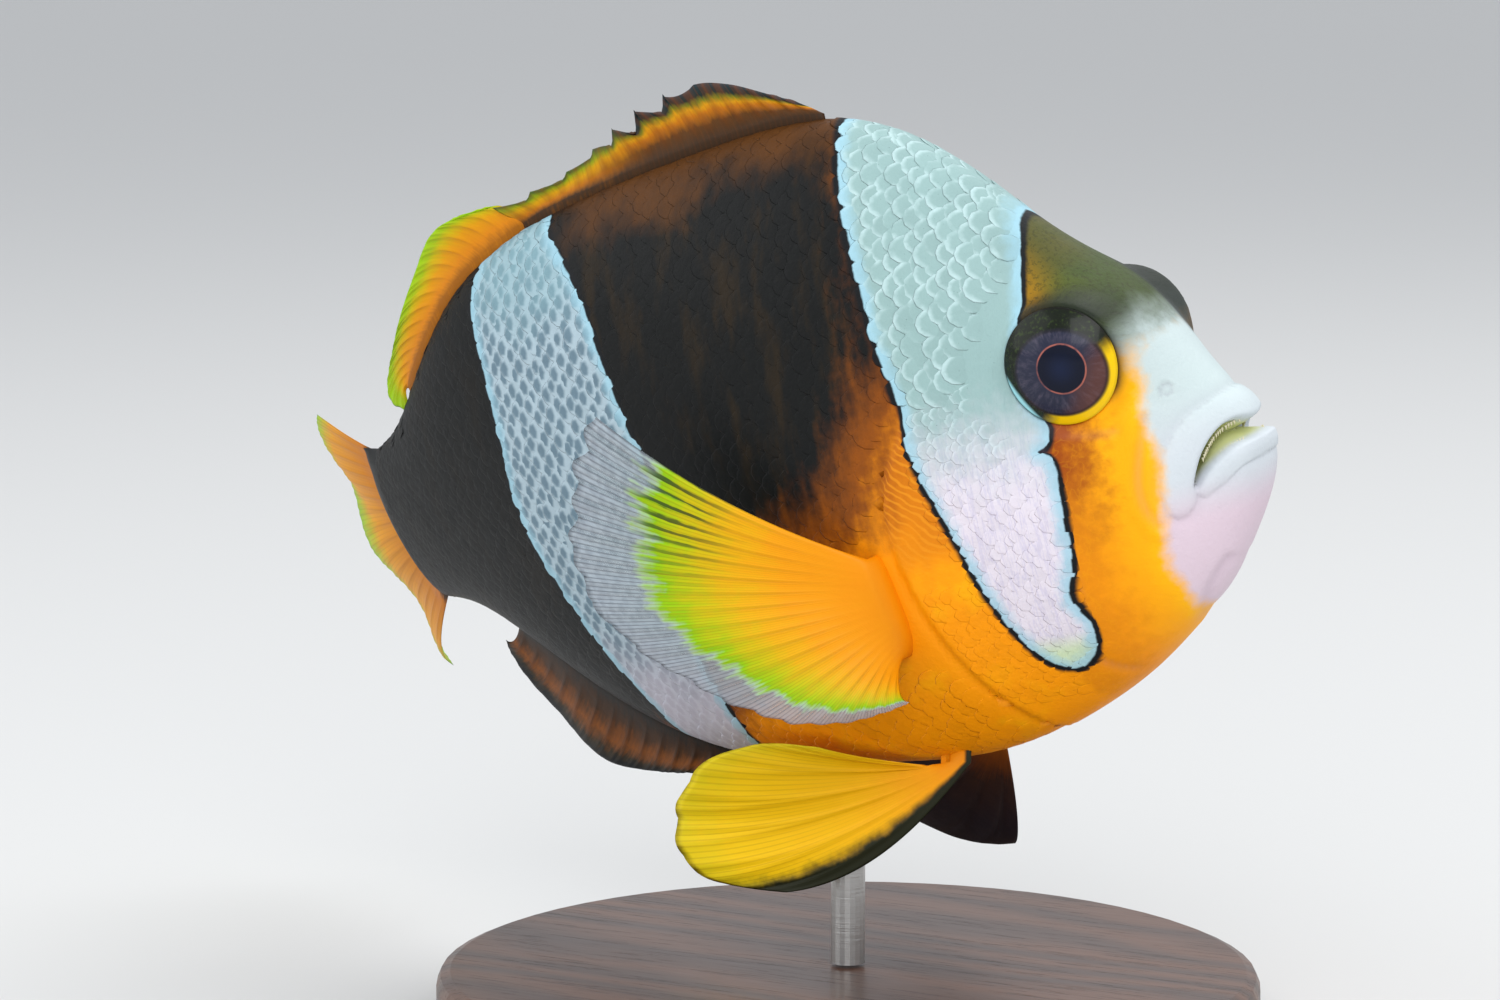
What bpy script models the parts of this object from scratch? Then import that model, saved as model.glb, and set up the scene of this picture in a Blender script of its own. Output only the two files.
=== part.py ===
"""Clark's anemonefish: a still, life-size display model on a plain stand.

The fish is drawn in its own coordinates, in millimetres, as if it lay straight:
u runs back from just ahead of the lips, v to the fish's left, w up from its midline.
place() then bends, twists and tilts a point of that straight fish into the
swimming pose and gives it in metres, +X ahead, +Y to the fish's left, +Z up.
The origin is the middle of the stand's underside.
"""

from math import cos, exp, radians, sin, tau

import bmesh
import bpy
import numpy as np

MM = 0.001
GAP = 0.3

# The pose: the whole fish tilts and leans, and its rear bends left and rolls to its right.
NOSE_UP = radians(10.0)
LEAN = radians(7.5)
LEAN_AXIS = -25.7
FLEX_FROM = 30.0
TAIL_BASE = 100.0
BEND = radians(33.0)
BEND_POWER = 1.9
TWIST = radians(16.5)
TWIST_POWER = 1.4
PIVOT = 43.8
PIVOT_HEIGHT = 50.0
SPINE_LENGTH = 135.0
SPINE_STEPS = 540

# The straight body: back edge (u, w), belly edge (u, w) and half width of each section.
SECTIONS = (
    (2.7, -1.4, 2.7, -1.4, 0.0),
    (3.1, 1.2, 2.9, -4.2, 2.8),
    (4.8, 3.5, 4.0, -7.0, 4.0),
    (7.1, 6.8, 6.0, -10.1, 5.0),
    (9.8, 10.9, 8.8, -13.6, 6.3),
    (13.5, 14.8, 13.2, -17.3, 7.9),
    (19.2, 19.5, 19.0, -21.1, 9.3),
    (27.0, 26.4, 27.0, -24.3, 10.5),
    (37.0, 30.5, 36.0, -25.9, 10.9),
    (50.0, 29.5, 49.0, -25.7, 10.0),
    (63.0, 26.9, 61.0, -24.3, 7.8),
    (75.0, 22.3, 73.0, -20.1, 5.4),
    (84.0, 15.4, 84.0, -14.0, 3.7),
    (92.0, 8.8, 92.0, -10.7, 2.8),
    (98.8, 5.8, 99.6, -10.5, 2.3),
)
WIDEST_LEVEL = 0.48
BACK_FULLNESS = 1.12
BELLY_FULLNESS = 0.92
ORBIT_AT = (12.2, 12.0)
ORBIT_SIZE = 3.4
ORBIT_SWELL = 0.7
SEGMENTS = 24
HALVINGS = 30
SHARP_EDGE = radians(40.0)

# Where the body is parted, counted in sections.
GILL_EDGE = 7.55
GILL_BOW = 1.1
TAIL_CUT = 11.6
HEAD_RINGS = 15
TRUNK_RINGS = 10
STALK_RINGS = 6

# The mouth, a little open, and the lower jaw behind it.
MOUTH_FRONT = (0.0, 2.6)
MOUTH_CORNER = (7.2, -3.7)
MOUTH_GAPE = 3.0
CHIN_FOLD = (10.4, -16.5)
CUTTER_MARGIN = 8.0
CUTTER_REACH = 14.0

# Eyes.
EYE_AT = (15.7, 7.9, 8.1)
EYE_RADIUS = 4.9
EYE_DEPTH = 2.3
EYE_TOE_IN = radians(6.0)
EYE_SIDES = 20

# Fins: thickness at the root and at the margin, and how many rays and stretches draw each.
FIN_ROOT = 1.5
FIN_EDGE = 0.6
TAIL_FIN_ROOT = 3.6
ROOT_CLEAR = GAP + 0.05
FIN_BOW = 0.8
SPINES = 10
SPINE_STRETCH = 3
SOFT_RAYS = 15
SOFT_STRETCH = 4
TAIL_RAYS = 16
PECTORAL_RAYS = 19
PELVIC_RAYS = 12
LONG_STRETCH = 5

# The stand: ROD_ENTRY is where the upright rod meets the tilted belly.
BASE_RADIUS = 36.0
BASE_HEIGHT = 6.0
BASE_EDGE = 1.2
BASE_SIDES = 64
ROD_RADIUS = 1.5
ROD_SIDES = 20
ROD_ENTRY = 48.4
ROD_INSET = 4.0
SOCKET_FLOOR = 16.0


def spline(knots, values):
    """Natural cubic spline through the values at the knots, as a function."""
    x = np.asarray(knots, float)
    y = np.asarray(values, float)
    h = np.diff(x)
    n = len(x)
    rows = np.eye(n)
    right = np.zeros(n)
    for i in range(1, n - 1):
        rows[i, i - 1:i + 2] = (h[i - 1], 2 * (h[i - 1] + h[i]), h[i])
        right[i] = 6 * ((y[i + 1] - y[i]) / h[i] - (y[i] - y[i - 1]) / h[i - 1])
    m = np.linalg.solve(rows, right)

    def value(t):
        i = int(min(max(np.searchsorted(x, t) - 1, 0), n - 2))
        a, b = t - x[i], x[i + 1] - t
        curved = (m[i] * b ** 3 + m[i + 1] * a ** 3) / (6 * h[i])
        left = (y[i] / h[i] - m[i] * h[i] / 6) * b
        return float(curved + left + (y[i + 1] / h[i] - m[i + 1] * h[i] / 6) * a)

    return value


BACK_U, BACK_W, BELLY_U, BELLY_W, HALF = (
    spline(range(len(SECTIONS)), column) for column in zip(*SECTIONS)
)
LAST = len(SECTIONS) - 1


def flex(u, amount, power):
    """How far the spine has turned by u, in radians."""
    return amount * np.clip((u - FLEX_FROM) / (TAIL_BASE - FLEX_FROM), 0, None) ** power


def bent_spine():
    """Positions u along the straight spine, and where bending takes each of them."""
    u = np.linspace(-10.0, SPINE_LENGTH, SPINE_STEPS + 1)
    heading = flex((u[1:] + u[:-1]) / 2, BEND, BEND_POWER)
    x = -np.concatenate(([0.0], np.cumsum(np.cos(heading) * np.diff(u))))
    y = np.concatenate(([0.0], np.cumsum(np.sin(heading) * np.diff(u))))
    return u, x - np.interp(PIVOT, u, x), y - np.interp(PIVOT, u, y)


SPINE = bent_spine()


def place(point):
    """A point (u, v, w) of the straight fish, in the pose and in metres."""
    u, v, w = point
    twist = float(flex(min(u, SPINE_LENGTH), TWIST, TWIST_POWER))
    heading = float(flex(u, BEND, BEND_POWER))
    side = v * cos(twist) - w * sin(twist)
    z = v * sin(twist) + w * cos(twist)
    x = float(np.interp(u, SPINE[0], SPINE[1])) + side * sin(heading)
    y = float(np.interp(u, SPINE[0], SPINE[2])) + side * cos(heading)
    up = z - LEAN_AXIS
    y, z = y * cos(LEAN) - up * sin(LEAN), y * sin(LEAN) + up * cos(LEAN) + LEAN_AXIS
    x, z = x * cos(NOSE_UP) - z * sin(NOSE_UP), x * sin(NOSE_UP) + z * cos(NOSE_UP)
    return (x * MM, y * MM, (z + PIVOT_HEIGHT) * MM)


def orbit_swell(u, w):
    """How much wider the head is round the eyes than its plain section, as a factor."""
    away = ((u - ORBIT_AT[0]) ** 2 + (w - ORBIT_AT[1]) ** 2) / ORBIT_SIZE ** 2
    return 1 + ORBIT_SWELL * exp(-away / 2)


def section_place(section, w):
    """Position u along the fish of a section at level w, as sections slant."""
    top, bottom = BACK_W(section), BELLY_W(section)
    share = min(1.0, max(0.0, (w - bottom) / (top - bottom))) if top > bottom else 0.5
    return BELLY_U(section) + share * (BACK_U(section) - BELLY_U(section))


def section_width(section, w):
    """Half width of a section at level w."""
    top, bottom = BACK_W(section), BELLY_W(section)
    middle = bottom + (top - bottom) * WIDEST_LEVEL
    reach = (top - middle) if w > middle else (bottom - middle)
    level = min(1.0, max(0.0, (w - middle) / reach)) if reach else 1.0
    power = BACK_FULLNESS if w > middle else BELLY_FULLNESS
    plain = HALF(section) * (1 - level ** 2) ** (power / 2)
    return plain * orbit_swell(section_place(section, w), w)


def body_point(section, angle):
    """The skin at an angle round a section: 0 is the left flank, pi/2 the back."""
    top, bottom = BACK_W(section), BELLY_W(section)
    middle = bottom + (top - bottom) * WIDEST_LEVEL
    rise = sin(angle)
    w = middle + rise * ((top - middle) if rise > 0 else (middle - bottom))
    v = section_width(section, w)
    return (section_place(section, w), v if cos(angle) >= 0 else -v, w)


def section_at(u, w):
    """The section that holds the level w at u, found by halving."""
    low, high = 1.0, float(LAST)
    for _ in range(HALVINGS):
        middle = (low + high) / 2
        low, high = (middle, high) if section_place(middle, w) < u else (low, middle)
    return (low + high) / 2


def flank(u, w):
    """Half width of the body at u and w."""
    return section_width(section_at(u, w), w)


def edge_level(edge_u, edge_w, u):
    """Level of the back or belly edge at u."""
    low, high = 0.0, float(LAST)
    for _ in range(HALVINGS):
        middle = (low + high) / 2
        low, high = (middle, high) if edge_u(middle) < u else (low, middle)
    return edge_w((low + high) / 2)


def back(u):
    """Level of the back at u."""
    return edge_level(BACK_U, BACK_W, u)


def belly(u):
    """Level of the belly at u."""
    return edge_level(BELLY_U, BELLY_W, u)


def new_material(name, colour, roughness, metallic=0.0):
    """A Principled material of one colour."""
    material = bpy.data.materials.new(name)
    material.use_nodes = True
    shader = material.node_tree.nodes["Principled BSDF"]
    shader.inputs["Base Color"].default_value = (*colour, 1.0)
    shader.inputs["Roughness"].default_value = roughness
    shader.inputs["Metallic"].default_value = metallic
    material.diffuse_color = (*colour, 1.0)
    return material


def new_object(name, mesh_builder, material):
    """An object named for its sub-part, from a bmesh whose faces are turned outward."""
    bmesh.ops.recalc_face_normals(mesh_builder, faces=mesh_builder.faces)
    mesh = bpy.data.meshes.new(name)
    mesh_builder.to_mesh(mesh)
    mesh_builder.free()
    if material:
        mesh.materials.append(material)
    mesh.shade_smooth()
    mesh.set_sharp_from_angle(angle=SHARP_EDGE)
    thing = bpy.data.objects.new(name, mesh)
    bpy.context.scene.collection.objects.link(thing)
    return thing


def make_cutter(thing):
    """Leave an object out of the model, to be used only as a cutter."""
    thing.hide_render = True
    thing.display_type = "WIRE"
    return thing


def cut(thing, cutter, operation="DIFFERENCE"):
    """Cut an object with another through a Boolean modifier."""
    boolean = thing.modifiers.new(cutter.name, "BOOLEAN")
    boolean.object = cutter
    boolean.operation = operation
    boolean.solver = "EXACT"


def bridge(builder, ring_a, ring_b):
    """Faces between two rings with the same number of points."""
    count = len(ring_a)
    for i in range(count):
        j = (i + 1) % count
        builder.faces.new((ring_a[i], ring_a[j], ring_b[j], ring_b[i]))


def cap(builder, ring, centre):
    """Close a ring with a fan of faces to a centre point."""
    middle = builder.verts.new(centre)
    for i in range(len(ring)):
        builder.faces.new((ring[i], ring[(i + 1) % len(ring)], middle))


def gill_line(angle):
    """The section where the gill cover ends, which runs forward above and below."""
    return GILL_EDGE - GILL_BOW * sin(angle) ** 2


def tail_line(_angle):
    """The section where the tail stalk begins."""
    return TAIL_CUT


def after(line):
    """The same line moved back by the gap between two solids."""
    def moved(angle):
        section = line(angle)
        pitch = BACK_U(section + 0.5) - BACK_U(section - 0.5)
        return section + GAP / pitch
    return moved


def tail_end(_angle):
    """The last section, where the tail fin begins."""
    return float(LAST)


def ring_points(line):
    """Points of the skin along a line of sections."""
    angles = [tau * i / SEGMENTS for i in range(SEGMENTS)]
    return [body_point(line(angle), angle) for angle in angles]


def centre_of(points):
    """The middle of a ring, on the fish's midline."""
    u = sum(p[0] for p in points) / len(points)
    w = sum(p[2] for p in points) / len(points)
    return (u, 0.0, w)


def body_length(name, start, end, rings, material, crowd=1.0):
    """A length of the body between two lines of sections; start None is the snout's tip."""
    builder = bmesh.new()
    previous = None
    for k in range(rings + 1):
        share = (k / rings) ** crowd
        if start is None and k == 0:
            continue
        first = start or (lambda angle: 0.0)

        def between(angle, share=share, first=first):
            return first(angle) + share * (end(angle) - first(angle))

        points = ring_points(between)
        ring = [builder.verts.new(place(p)) for p in points]
        if previous is None:
            tip = (SECTIONS[0][0], 0.0, SECTIONS[0][1])
            cap(builder, ring, place(tip if start is None else centre_of(points)))
        else:
            bridge(builder, previous, ring)
        previous = ring
    cap(builder, previous, place(centre_of(points)))
    return new_object(name, builder, material)


def prism(name, outline):
    """A cutter: an outline in u and w, straight across the fish."""
    builder = bmesh.new()
    sides = []
    for v in (-CUTTER_REACH, CUTTER_REACH):
        sides.append([builder.verts.new(place((u, v, w))) for u, w in outline])
    bridge(builder, sides[0], sides[1])
    builder.faces.new(sides[0])
    builder.faces.new(sides[1])
    return make_cutter(new_object(name, builder, None))


def eyeball(name, side, growth, material):
    """A lens-shaped eye, or its socket's cutter where growth is above 0."""
    builder = bmesh.new()
    bmesh.ops.create_uvsphere(builder, u_segments=EYE_SIDES, v_segments=EYE_SIDES // 2, radius=1.0)
    for vert in builder.verts:
        x, y, z = vert.co
        u = (EYE_RADIUS + growth) * x
        out = (EYE_DEPTH + growth) * z
        w = (EYE_RADIUS + growth) * y
        u, out = u * cos(EYE_TOE_IN) - out * sin(EYE_TOE_IN), u * sin(EYE_TOE_IN) + out * cos(EYE_TOE_IN)
        vert.co = place((EYE_AT[0] + u, side * (EYE_AT[1] + out), EYE_AT[2] + w))
    return new_object(name, builder, material)


def thickness(r, root=FIN_ROOT):
    """Thickness of a fin at a share r of its rays' length."""
    return FIN_EDGE + (root - FIN_EDGE) * (1 - r) ** 2


def fin(name, ray, rays, steps, material, root=FIN_ROOT):
    """A fin: ray(q, r) gives a point, q across the fin and r along a ray, both 0 to 1."""
    grid = [[np.array(ray(i / rays, j / steps)) for j in range(steps + 1)] for i in range(rays + 1)]
    builder = bmesh.new()
    faces = ([], [])
    for i in range(rays + 1):
        rows = ([], [])
        for j in range(steps + 1):
            across = grid[min(i + 1, rays)][j] - grid[max(i - 1, 0)][j]
            along = grid[i][min(j + 1, steps)] - grid[i][max(j - 1, 0)]
            normal = np.cross(across, along)
            normal = normal / np.linalg.norm(normal)
            half = thickness(j / steps, root) / 2
            for row, sign in zip(rows, (1, -1)):
                row.append(builder.verts.new(place(grid[i][j] + sign * half * normal)))
        faces[0].append(rows[0])
        faces[1].append(rows[1])
    for rows in faces:
        for i in range(rays):
            for j in range(steps):
                corners = (rows[i][j], rows[i + 1][j], rows[i + 1][j + 1], rows[i][j + 1])
                builder.faces.new(corners)
    rims = [rim(rows) for rows in faces]
    bridge(builder, rims[0], rims[1])
    return new_object(name, builder, material)


def rim(rows):
    """The points round the edge of a grid, in order."""
    last = len(rows) - 1
    bottom = [rows[i][0] for i in range(last)]
    far = rows[last][:-1]
    top = [rows[i][-1] for i in range(last, 0, -1)]
    near = rows[0][:0:-1]
    return bottom + far + top + near


def curve(points):
    """A smooth curve through points at even steps of q, 0 to 1."""
    steps = np.linspace(0, 1, len(points))
    parts = [spline(steps, column) for column in zip(*points)]
    return lambda q: np.array([part(q) for part in parts])


def bowed(root, tip, bow):
    """A ray from root to tip that bows by a vector at its middle."""
    def ray(q, r):
        return (1 - r) * root(q) + r * tip(q) + 4 * r * (1 - r) * bow(q)
    return ray


def median_root(first, last, edge, offset):
    """Root of a dorsal or anal fin along the body's edge, clear of it by the gap."""
    def root(q):
        u = first + q * (last - first)
        return np.array((u, 0.0, edge(u) + offset))
    return root


# Roots of the unpaired fins along the body, and their margins, front to rear, as (u, v, w).
SPINY_ROOT = (36.6, 67.0)
SPINY_MARGIN = curve(((38.5, 0.0, 31.9), (45.0, 0.0, 34.8), (51.0, 0.0, 34.9), (56.5, 0.0, 32.8),
                      (62.0, 0.0, 29.7), (69.0, 0.0, 27.9)))
SPINE_NOTCH = (0.27, 0.9)
SOFT_ROOT = (67.6, 85.0)
SOFT_MARGIN = curve(((71.0, 0.0, 27.6), (77.5, 0.0, 26.4), (82.5, 0.0, 21.8), (87.5, 0.0, 16.6),
                     (92.0, 0.0, 11.9), (91.8, 0.0, 9.9)))
ANAL_ROOT = (61.5, 87.5)
ANAL_MARGIN = curve(((64.5, 0.0, -26.2), (71.0, 0.0, -26.9), (78.5, 0.0, -26.9), (85.0, 0.0, -24.6),
                     (90.0, 0.0, -19.9), (92.0, 0.0, -14.5)))
TAIL_ROOT = (99.3, 5.3, -9.9)
TAIL_RAKE = 0.8
TAIL_MARGIN = curve(((120.5, 1.2, 7.2), (123.5, 0.6, 3.9), (120.5, -0.6, -0.5), (118.3, -1.6, -5.5),
                     (120.5, -2.2, -11.1), (124.0, -2.6, -16.9), (121.5, -3.0, -20.9)))

# Roots and margins of the paired fins on the fish's left, top ray first.
PECTORAL_ROOT = curve(((35.2, -5.2), (35.0, -9.8), (35.2, -14.6)))
PECTORAL_CLEAR = 1.1
PECTORAL_BOW = 1.4
PECTORAL_MARGIN = curve(((53.6, 16.0, 11.6), (57.8, 18.5, 4.0), (57.0, 19.5, -4.0), (51.5, 19.5, -10.8),
                         (44.0, 18.0, -16.2), (37.6, 15.5, -18.0), (33.2, 13.0, -17.4)))
PELVIC_ROOT = curve(((37.6, 3.2), (34.4, 3.4)))
PELVIC_CLEAR = 0.9
PELVIC_BOW = 0.6
PELVIC_DROOP = 2.4
BELLY_STEP = 0.1
PELVIC_TRIM = curve(((47.0, 7.5, -21.9), (56.0, 8.5, -21.3), (62.5, 9.0, -25.2), (63.8, 9.6, -29.0),
                     (61.0, 9.5, -33.0), (53.5, 8.8, -34.6)))
PELVIC_SPREAD = curve(((48.0, 8.0, -27.0), (55.5, 11.0, -29.0), (58.5, 13.0, -32.5), (56.0, 14.0, -36.0),
                       (49.5, 14.0, -38.2), (41.5, 12.5, -38.0)))


def spiny_ray(q, r):
    """Spiny dorsal fin, notched between the spines' tips."""
    root = median_root(*SPINY_ROOT, back, ROOT_CLEAR)
    first, last = SPINE_NOTCH
    notch = (first + (last - first) * q) * (1 - cos(tau * q * SPINES)) / 2
    tip = SPINY_MARGIN(q) - np.array((0.0, 0.0, notch))
    return (1 - r) * root(q) + r * tip


def tail_root(q):
    """Root of the tail fin across the end of the stalk."""
    u, top, bottom = TAIL_ROOT
    return np.array((u + TAIL_RAKE * q, 0.0, top + q * (bottom - top)))


def pectoral_root(q):
    """Root of the left pectoral fin, just off the flank."""
    u, w = PECTORAL_ROOT(q)
    return np.array((u, flank(u, w) + PECTORAL_CLEAR, w))


def pelvic_root(q):
    """Root of the left pelvic fin, just under the belly."""
    u, v = PELVIC_ROOT(q)
    low = belly(u)
    while flank(u, low) < v:
        low += BELLY_STEP
    return np.array((u, v, low - PELVIC_CLEAR))


def pectoral_bow(q):
    """The pectoral rays arch outward, and spread apart at their middles."""
    return np.array((0.0, PECTORAL_BOW, FIN_BOW * (1 - 2 * q)))


def pelvic_bow(q):
    """The pelvic rays bow outward, and the leading ones, at q = 1, also down."""
    return np.array((0.0, PELVIC_BOW, -PELVIC_DROOP * q))


def on_side(ray, side):
    """The ray on the fish's left (1) or mirrored to its right (-1)."""
    mirror = np.array((1.0, side, 1.0))
    return lambda q, r: ray(q, r) * mirror


def build_stand(wood, steel):
    """A round base with an eased edge, and a rod up into the belly."""
    builder = bmesh.new()
    bmesh.ops.create_cone(builder, cap_ends=True, segments=BASE_SIDES, radius1=BASE_RADIUS * MM,
                          radius2=BASE_RADIUS * MM, depth=BASE_HEIGHT * MM)
    bmesh.ops.translate(builder, verts=builder.verts, vec=(0, 0, BASE_HEIGHT / 2 * MM))
    base = new_object("stand_base", builder, wood)
    edge = base.modifiers.new("eased edge", "BEVEL")
    edge.width = BASE_EDGE * MM
    edge.segments = 2
    edge.limit_method = "ANGLE"
    bottom = BASE_HEIGHT + GAP
    top = rod_top()
    return base, rod("stand_rod", ROD_RADIUS, bottom, top, steel)


def rod_top():
    """Height of the rod's end inside its socket."""
    return PIVOT_HEIGHT + belly(ROD_ENTRY) / cos(NOSE_UP) + ROD_INSET


def rod(name, radius, bottom, top, material):
    """An upright round bar under the fish's pivot."""
    builder = bmesh.new()
    bmesh.ops.create_cone(builder, cap_ends=True, segments=ROD_SIDES, radius1=radius * MM,
                          radius2=radius * MM, depth=(top - bottom) * MM)
    bmesh.ops.translate(builder, verts=builder.verts, vec=(0, 0, (top + bottom) / 2 * MM))
    return new_object(name, builder, material)


def build_body(orange, dark):
    """The head, lower jaw, trunk and tail stalk, parted with thin cuts."""
    head = body_length("head", None, gill_line, HEAD_RINGS, orange, crowd=1.5)
    jaw = body_length("lower_jaw", None, gill_line, HEAD_RINGS, orange, crowd=1.5)
    front, corner, fold = MOUTH_FRONT, MOUTH_CORNER, CHIN_FOLD
    ahead = front[0] - CUTTER_MARGIN
    under = fold[1] - CUTTER_MARGIN
    above = (front[0], front[1] + MOUTH_GAPE / 2)
    below = (front[0], front[1] - MOUTH_GAPE / 2)
    gape = prism("mouth_cutter", (
        above,
        below,
        (corner[0], corner[1] - GAP / 2),
        (corner[0], corner[1] + GAP / 2),
    ))
    inner = prism("jaw_keeper", (
        below,
        (corner[0] - GAP, corner[1] - GAP / 2),
        (fold[0] - GAP, fold[1]),
        (fold[0] - GAP, under),
        (ahead, under),
        (ahead, below[1]),
    ))
    outer = prism("jaw_cutter", (
        below,
        corner,
        fold,
        (fold[0], under),
        (ahead, under),
        (ahead, below[1]),
    ))
    cut(jaw, inner, "INTERSECT")
    cut(head, outer)
    cut(head, gape)
    trunk = body_length("trunk", after(gill_line), tail_line, TRUNK_RINGS, dark)
    body_length("tail_stalk", after(tail_line), tail_end, STALK_RINGS, dark)
    socket = make_cutter(rod("rod_socket", ROD_RADIUS + GAP, SOCKET_FLOOR, rod_top() + GAP, None))
    cut(trunk, socket)
    return head


def build_eyes(head, black):
    """Both eyes and the sockets that hold them."""
    for side, name in ((1, "eye_left"), (-1, "eye_right")):
        eyeball(name, side, 0.0, black)
        cut(head, make_cutter(eyeball(name + "_socket", side, GAP, None)))


def build_fins(orange, yellow, brown):
    """All eight fins."""
    fin("dorsal_fin_front", spiny_ray, 2 * SPINES, SPINE_STRETCH, orange)
    soft_root = median_root(*SOFT_ROOT, back, ROOT_CLEAR)
    soft = bowed(soft_root, SOFT_MARGIN, lambda q: np.array((0.0, 0.0, FIN_BOW)))
    fin("dorsal_fin_rear", soft, SOFT_RAYS, SOFT_STRETCH, yellow)
    anal_root = median_root(*ANAL_ROOT, belly, -ROOT_CLEAR)
    anal = bowed(anal_root, ANAL_MARGIN, lambda q: np.array((0.0, 0.0, -FIN_BOW)))
    fin("anal_fin", anal, SOFT_RAYS, SOFT_STRETCH, brown)
    tail = bowed(tail_root, TAIL_MARGIN, lambda q: np.array((0.0, 0.0, FIN_BOW * (1 - 2 * q))))
    fin("tail_fin", tail, TAIL_RAYS, LONG_STRETCH, yellow, root=TAIL_FIN_ROOT)
    pectoral = bowed(pectoral_root, PECTORAL_MARGIN, pectoral_bow)
    for side, name, margin in ((1, "left", PELVIC_SPREAD), (-1, "right", PELVIC_TRIM)):
        fin("pectoral_fin_" + name, on_side(pectoral, side), PECTORAL_RAYS, LONG_STRETCH, yellow)
        pelvic = bowed(pelvic_root, margin, pelvic_bow)
        fin("pelvic_fin_" + name, on_side(pelvic, side), PELVIC_RAYS, LONG_STRETCH, yellow)


def main():
    """Build the fish and its stand in an empty scene."""
    for thing in list(bpy.data.objects):
        bpy.data.objects.remove(thing, do_unlink=True)
    orange = new_material("orange_skin", (0.85, 0.28, 0.02), 0.45)
    dark = new_material("dark_skin", (0.02, 0.016, 0.014), 0.5)
    yellow = new_material("yellow_fin", (0.9, 0.5, 0.03), 0.45)
    brown = new_material("brown_fin", (0.12, 0.05, 0.01), 0.5)
    black = new_material("eye", (0.01, 0.01, 0.015), 0.08)
    wood = new_material("stand_wood", (0.09, 0.045, 0.025), 0.4)
    steel = new_material("stand_steel", (0.6, 0.6, 0.6), 0.3, 1.0)
    head = build_body(orange, dark)
    build_eyes(head, black)
    build_fins(orange, yellow, brown)
    build_stand(wood, steel)


if __name__ == "__main__":
    main()
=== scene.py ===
"""The finished looks of a Clark's anemonefish, life size, on its display stand.

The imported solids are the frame. One skin takes the place of the body, the jaw and
the fins, scales lie over it, the eyes and teeth are pieces of their own, and the
stand keeps its solids and gets its wood and steel.

Shapes are worked out in the coordinates of a straight fish, in millimetres: u runs
back from just ahead of the lips, v to its left and w up from its midline. Pose.place
bends and tilts them into the swimming pose, in metres, in the frame of the solids.
"""

import logging
from collections.abc import Callable
from dataclasses import dataclass, field
from enum import Enum
from math import cos, pi, radians, sin, tan, tau

import bpy
import numpy as np
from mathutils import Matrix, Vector


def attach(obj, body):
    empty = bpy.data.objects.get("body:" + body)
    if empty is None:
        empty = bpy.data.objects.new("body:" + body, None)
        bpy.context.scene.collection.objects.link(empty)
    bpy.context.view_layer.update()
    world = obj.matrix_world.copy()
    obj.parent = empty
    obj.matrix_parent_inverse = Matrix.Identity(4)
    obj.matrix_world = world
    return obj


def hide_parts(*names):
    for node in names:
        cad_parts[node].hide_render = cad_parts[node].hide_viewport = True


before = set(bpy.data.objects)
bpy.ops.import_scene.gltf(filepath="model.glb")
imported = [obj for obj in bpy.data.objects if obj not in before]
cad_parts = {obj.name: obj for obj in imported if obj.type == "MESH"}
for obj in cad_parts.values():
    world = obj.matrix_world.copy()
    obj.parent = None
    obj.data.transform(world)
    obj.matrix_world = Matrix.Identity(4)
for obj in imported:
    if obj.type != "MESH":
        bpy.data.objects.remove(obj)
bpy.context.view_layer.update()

MM = 0.001
MERGE = 1e-6
log = logging.getLogger("fish")

Array = np.ndarray
Pairs = tuple[tuple[float, float], ...]
Triples = tuple[tuple[float, float, float], ...]
Span = tuple[float, float]


class Side(Enum):
    """A side of the fish, as the sign of v."""

    LEFT = 1
    RIGHT = -1


def smooth(value: Array, low: float, high: float) -> Array:
    """A smooth step of a value, 0 at low and 1 at high."""
    share = np.clip((value - low) / (high - low), 0.0, 1.0)
    return share * share * (3 - 2 * share)


class Curve:
    """A natural cubic spline through rows of values at growing knots."""

    def __init__(self, knots: Array, values: Array) -> None:
        """Fit the spline.

        Args:
            knots: Where the values are, growing.
            values: One row of one or more values at each knot.
        """
        self.knots = np.asarray(knots, float)
        self.values = np.asarray(values, float).reshape(len(self.knots), -1)
        self.gaps = np.diff(self.knots)
        count = len(self.knots)
        rows = np.eye(count)
        right = np.zeros_like(self.values)
        slopes = np.diff(self.values, axis=0) / self.gaps[:, None]
        for i in range(1, count - 1):
            before, after = self.gaps[i - 1], self.gaps[i]
            rows[i, i - 1:i + 2] = (before, 2 * (before + after), after)
            right[i] = 6 * (slopes[i] - slopes[i - 1])
        self.bends = np.linalg.solve(rows, right)

    def __call__(self, where: Array) -> Array:
        """The values at any places, with one more axis unless each knot has one value."""
        where = np.asarray(where, float)
        i = np.clip(np.searchsorted(self.knots, where) - 1, 0, len(self.knots) - 2)
        gap = self.gaps[i][..., None]
        done = where[..., None] - self.knots[i][..., None]
        left = gap - done
        bent = (self.bends[i] * left ** 3 + self.bends[i + 1] * done ** 3) / (6 * gap)
        start = (self.values[i] / gap - self.bends[i] * gap / 6) * left
        end = (self.values[i + 1] / gap - self.bends[i + 1] * gap / 6) * done
        result = bent + start + end
        return result[..., 0] if result.shape[-1] == 1 else result


def even_curve(points: tuple) -> Curve:
    """A spline through points at even steps of 0 to 1."""
    return Curve(np.linspace(0, 1, len(points)), points)


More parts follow.
